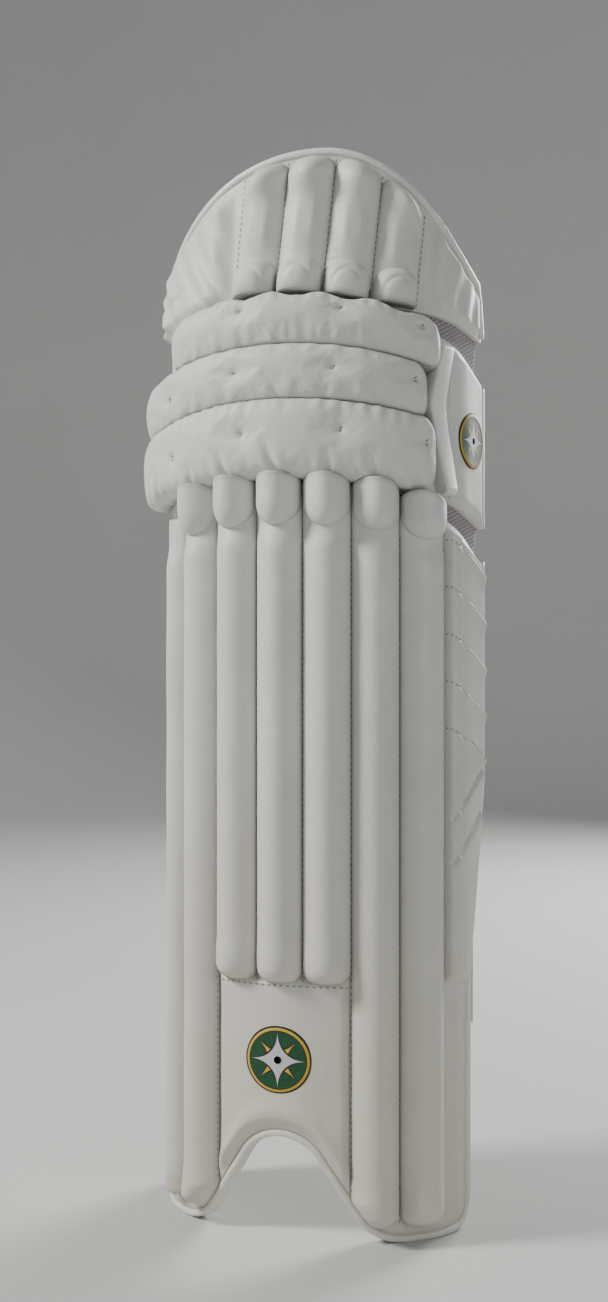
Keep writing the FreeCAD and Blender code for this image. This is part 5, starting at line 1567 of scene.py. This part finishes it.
tone = label.blend(gem_line, tone, tint(0.02, 0.02, 0.022))
tone = label.blend(divide, tone, tint(0.02, 0.02, 0.022))
label.feed("Base Color", tone)
u, v = np.linspace(0, 1, 70)[None, :], np.linspace(-1, 1, 30)[:, None]
LABEL_LENGTH = 75.0
label_end = middle_tab - 1.0
label_half = middle_width / 2 - 6.0
label_high = middle_z + label_half
low_line = middle_z - label_half * (1 - smooth(1 - u, 0.42, 0.62) * 1.02)
x = label_end - LABEL_LENGTH + LABEL_LENGTH * u + 0 * v
height = low_line + (label_high - low_line) * (v + 1) / 2
rise = FACE_Y + WEB + 0.12 + bow(x, STRAP_BAR_X, middle_tab)
rim = np.minimum(smooth(u, 0.0, 0.02), smooth(u, 1.0, 0.98)) * smooth(np.abs(v), 1.0, 0.94)
outer = np.stack([x + NOSE_X, rise + 0.25 + 0.55 * rim + NOSE_Y, height], -1) * 0.001
inner = np.stack([x + NOSE_X, rise - 0.1 + NOSE_Y, height], -1) * 0.001
spots = np.stack([x - (label_end - 33.0), height - middle_z], -1)
piece = grid_object("middle_strap_striped_label", outer, inner, spots, flip=True)
sew(piece, "middle_strap", label, ["middle_strap_label"])

# ---- rings, hook tape and what is inside -----------------------------------
# The rings are moulded in gloss white nylon. Hook tape backs the tabs. Boards and cores are closed-cell
# foam, and the rods in the canes are split cane.

nylon = Finish("moulded_white_nylon", roughness=0.28, IOR=1.52, Coat_Weight=0.15)
nylon_tone = nylon.blend(nylon.noise(25.0, 3.0), tint(0.78, 0.78, 0.77), tint(0.71, 0.71, 0.69))
nylon.feed("Base Color", nylon_tone)
nylon.feed("Roughness", nylon.noise(180.0, 3.0) * 0.2 + 0.2)
nylon.feed("Normal", nylon.relief(nylon.noise(400.0), 0.05, 0.5))

hook = Finish("hook_tape", roughness=0.7)
hook_place = hook.cells(1400.0)
hook.feed("Base Color", hook.blend(hook_place.step(0.1, 0.5), tint(0.68, 0.67, 0.64), tint(0.45, 0.44, 0.42)))
hook.feed("Normal", hook.relief(hook_place, 0.6, 0.8))

foam = Finish("closed_cell_foam", roughness=0.9)
foam_cells = foam.cells(900.0)
foam.feed("Base Color", foam.blend(foam_cells.step(0.0, 0.7), tint(0.66, 0.63, 0.52), tint(0.72, 0.70, 0.60)))
foam.feed("Normal", foam.relief(foam_cells, 0.3, 0.7))

wood = Finish("split_cane", roughness=0.5)
grain = wood.node("ShaderNodeMapping", values={0: wood.place(), "Scale": (90.0, 90.0, 2.5)})
streak = wood.noise(6.0, 5.0, 0.6, at=grain)
wood.feed("Base Color", wood.blend(streak, tint(0.42, 0.26, 0.11), tint(0.62, 0.44, 0.22)))
wood.feed("Normal", wood.relief(streak, 0.3, 0.6))

INSIDE = {
    nylon: ["upper_ring", "middle_ring", "bottom_ring"],
    hook: ["upper_hook_tape", "middle_hook_tape", "bottom_hook_tape"],
    foam: ["shin_foam_board", "knee_foam_board", "hat_foam_board"],
    wood: ["shin_cane_rods"],
}
for finish, nodes in INSIDE.items():
    for node in nodes:
        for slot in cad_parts[node].material_slots:
            slot.material = finish.material

# ---- stitching -------------------------------------------------------------
# Every seam is lock-stitched in grey thread that sinks into the leather. A row of stitches is laid
# along each seam line.


def stitch_rule():
    """Lays one short stitch at each pitch along the edges it is given."""
    rule = bpy.data.node_groups.new("stitch_row", "GeometryNodeTree")
    rule.interface.new_socket("Seam", in_out="INPUT", socket_type="NodeSocketGeometry")
    for measure, usual in (("Pitch", 0.0042), ("Length", 0.0024), ("Thickness", 0.0008)):
        socket = rule.interface.new_socket(measure, in_out="INPUT", socket_type="NodeSocketFloat")
        socket.default_value = usual
    rule.interface.new_socket("Thread", in_out="INPUT", socket_type="NodeSocketMaterial")
    rule.interface.new_socket("Stitches", in_out="OUTPUT", socket_type="NodeSocketGeometry")
    nodes, links = rule.nodes, rule.links
    given, result = nodes.new("NodeGroupInput"), nodes.new("NodeGroupOutput")
    line, spaced = nodes.new("GeometryNodeMeshToCurve"), nodes.new("GeometryNodeResampleCurve")
    spaced.mode = "LENGTH"
    bead, laid = nodes.new("GeometryNodeMeshUVSphere"), nodes.new("GeometryNodeInstanceOnPoints")
    bead.inputs["Segments"].default_value = 8
    bead.inputs["Rings"].default_value = 4
    bead.inputs["Radius"].default_value = 0.5
    way, turned = nodes.new("GeometryNodeInputTangent"), nodes.new("FunctionNodeAlignRotationToVector")
    turned.axis = "X"
    size, real = nodes.new("ShaderNodeCombineXYZ"), nodes.new("GeometryNodeRealizeInstances")
    dyed = nodes.new("GeometryNodeSetMaterial")
    for source, target in (
        (given.outputs["Seam"], line.inputs["Mesh"]),
        (line.outputs["Curve"], spaced.inputs["Curve"]),
        (given.outputs["Pitch"], spaced.inputs["Length"]),
        (spaced.outputs["Curve"], laid.inputs["Points"]),
        (bead.outputs["Mesh"], laid.inputs["Instance"]),
        (way.outputs["Tangent"], turned.inputs["Vector"]),
        (turned.outputs["Rotation"], laid.inputs["Rotation"]),
        (given.outputs["Length"], size.inputs["X"]),
        (given.outputs["Thickness"], size.inputs["Y"]),
        (given.outputs["Thickness"], size.inputs["Z"]),
        (size.outputs["Vector"], laid.inputs["Scale"]),
        (laid.outputs["Instances"], real.inputs["Geometry"]),
        (real.outputs["Geometry"], dyed.inputs["Geometry"]),
        (given.outputs["Thread"], dyed.inputs["Material"]),
        (dyed.outputs["Geometry"], result.inputs["Stitches"]),
    ):
        links.new(source, target)
    return rule


STITCH_RULE = stitch_rule()


def thread_finish(name, dark, light):
    spun = Finish(name, roughness=0.75)
    spun.feed("Base Color", spun.blend(spun.noise(700.0), dark, light))
    spun.feed("Normal", spun.relief(spun.noise(2500.0), 0.1, 0.6))
    return spun


grey_thread = thread_finish("grey_thread", tint(0.16, 0.16, 0.15), tint(0.28, 0.28, 0.27))
white_thread = thread_finish("white_thread", tint(0.62, 0.61, 0.57), tint(0.72, 0.71, 0.68))


def stitch(name, body, rows, thread, pitch=4.2, length=2.4, thickness=0.8):
    """Stitches along every row, a list of lines of points in metres, made into one plain mesh."""
    points, edges = [], []
    for row in rows:
        start = len(points)
        points += [tuple(p) for p in np.asarray(row).reshape(-1, 3)]
        edges += [(i, i + 1) for i in range(start, len(points) - 1)]
    seam_mesh = bpy.data.meshes.new(name + "_line")
    seam_mesh.from_pydata(points, edges, [])
    made = put(name, seam_mesh)
    rule = made.modifiers.new("stitches", "NODES")
    rule.node_group = STITCH_RULE
    inputs = [item for item in STITCH_RULE.interface.items_tree if item.in_out == "INPUT"]
    sockets = {item.name: item.identifier for item in inputs}
    rule[sockets["Pitch"]] = pitch * 0.001
    rule[sockets["Length"]] = length * 0.001
    rule[sockets["Thickness"]] = thickness * 0.001
    rule[sockets["Thread"]] = thread.material
    view = bpy.context.evaluated_depsgraph_get()
    laid = bpy.data.meshes.new_from_object(made.evaluated_get(view), depsgraph=view)
    made.modifiers.remove(rule)
    made.data = laid
    bpy.data.meshes.remove(seam_mesh)
    laid.shade_smooth()
    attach(made, body)


rows = []
for i in range(7):
    s = CANE_START + i * CANE_PITCH
    foot = SHORT_CANE_FOOT - 2.0 if i in (2, 3) else 14.0
    foot = 22.0 if i in (0, 6) else foot
    if i in (1, 4):
        foot = float(np.max(arch_height(across(np.array([s])), 6.0))) + 2.0
    z = np.linspace(foot, CANE_TOP - 28.0 - drop(float(depth(s)), KNEE_SLOPE), 60)
    rows.append(place(np.full(60, s), z, OUTER_D + VALLEY + 0.25))
rows.append(place(np.linspace(-43.0, 43.0, 40), np.full(40, SHORT_CANE_FOOT - 1.2), OUTER_D + 4.3))
stitch("shin_front_stitches", "shin_guard", rows, grey_thread)

rows = []
for line in WING_LINES:
    s = np.linspace(107.5, S_EDGE - 9.0, 40)
    z = line - drop(depth(s, 4.0) - WING_FRONT_Y, WING_SLOPE)
    u = (s - wing_s[0]) / (wing_s[-1] - wing_s[0])
    v = np.interp(z, (160.0, 440.0), (0.1, 0.9))
    rows.append(place(s, z, OUTER_D + wing_swell(s, z, u, v) + 0.15))
stitch("wing_stitches", "shin_guard", rows, grey_thread, pitch=3.4, length=1.9, thickness=0.75)

rows = []
for (z_seam, slope), rise in zip(ROLL_SEAMS[1:3], (13.4, 12.2)):
    s = np.linspace(-100.0 if z_seam < 540 else -76.0, 90.0, 120)
    d = OUTER_D + rise + 0 * s
    rows.append(place(s, z_seam - drop(depth(s, d), slope), d))
for spot in knots:
    for x, z in ((0.0012, 0.0012), (-0.0012, 0.0012)):
        rows.append([spot + (-x, -0.0004, -z), spot + (x, -0.0004, z)])
stitch("knee_roll_stitches", "knee_section", rows, grey_thread, pitch=3.6, length=2.2, thickness=0.75)

rows = []
for i in range(5):
    s = HAT_CANE_START + i * HAT_CANE_PITCH
    z = np.linspace(604.0 - drop(float(depth(s)), HAT_SLOPE), 700.0, 120)
    line_s = s + HAT_SPLAY * (z - SPLAY_Z)
    keep_z = z < hat_high(line_s, 8.0)
    rows.append(lean(place(line_s[keep_z], z[keep_z], OUTER_D + VALLEY + 0.25)))
stitch("hat_cane_stitches", "top_hat", rows, grey_thread, pitch=3.8)

rows = []
for side in (-1, 1):
    for k in range(-5, 7):
        base = (k + 0.5) * QUILT_PITCH - QUILT_SHIFT
        z = np.linspace(560.0, 706.0, 260)
        s = (base - side * (z - QUILT_Z) * QUILT_UP) / QUILT_ACROSS
        good = (np.abs(s) < S_EDGE - 12.0) & (z < hat_high(s, 11.0)) & (z > hat_low(s) + 3.0)
        good &= np.hypot(s, z - CREST_Z) > CREST_RADIUS + 1.5
        for chunk in np.split(np.arange(260), np.flatnonzero(np.diff(good.astype(int))) + 1):
            if good[chunk[0]] and len(chunk) > 4:
                v = np.full(len(chunk), 0.5)
                d = INNER_D + 0.5 - hat_lining_swell(s[chunk], z[chunk], v, v) - 0.12
                rows.append(lean(place(s[chunk], z[chunk], d)))
s = np.linspace(-S_EDGE + 12.0, S_EDGE - 12.0, 400)
z = hat_high(s, 10.5)
good = z > hat_low(s) + 4.0
rows.append(lean(place(s[good], z[good], INNER_D - 0.9)))
stitch("hat_lining_stitches", "top_hat", rows, grey_thread, pitch=3.2, length=1.9, thickness=0.6)

for name, (z, width, tab_inset, tab_length, patch_width, patch_inset, body) in STRAPS.items():
    tab_x = PATCH_EDGE_X - tab_inset
    rows = []
    for x in (STRAP_BAR_X + 10.0, STRAP_BAR_X + 13.0):
        y = FACE_Y + WEB + 0.05 + float(bow(x, STRAP_BAR_X, tab_x))
        line = [(x + NOSE_X, y + NOSE_Y, z + h) for h in np.linspace(-width / 2 + 3, width / 2 - 3, 20)]
        rows.append(np.array(line) * 0.001)
    stitch(name + "_strap_stitches", name + "_strap", rows, white_thread, pitch=2.2, length=1.7)
    rows = []
    for inset in (2.6, 6.4, 10.2):
        half, reach = width / 2 - inset, tab_length - inset
        nose = min(width * 0.46, tab_length * 0.9) - inset * 0.8
        turn = np.linspace(-math.pi / 2, math.pi / 2, 40)
        nose = max(nose, 2.0)
        x = tab_x + reach - nose + nose * np.cos(turn)
        h = z + np.sin(turn) * nose + np.sign(np.sin(turn)) * (half - nose)
        ends_x = np.concatenate([[tab_x + 6.0], x, [tab_x + 6.0]])
        ends_h = np.concatenate([[h[0]], h, [h[-1]]])
        good = ends_x >= tab_x + 5.9
        line = np.stack([ends_x + NOSE_X, np.full_like(ends_x, FACE_Y + 2.15 + NOSE_Y), ends_h], -1)[good]
        rows.append(line * 0.001)
    stitch(name + "_tab_stitches", name + "_tab", rows, white_thread, pitch=2.8, length=1.9, thickness=0.6)
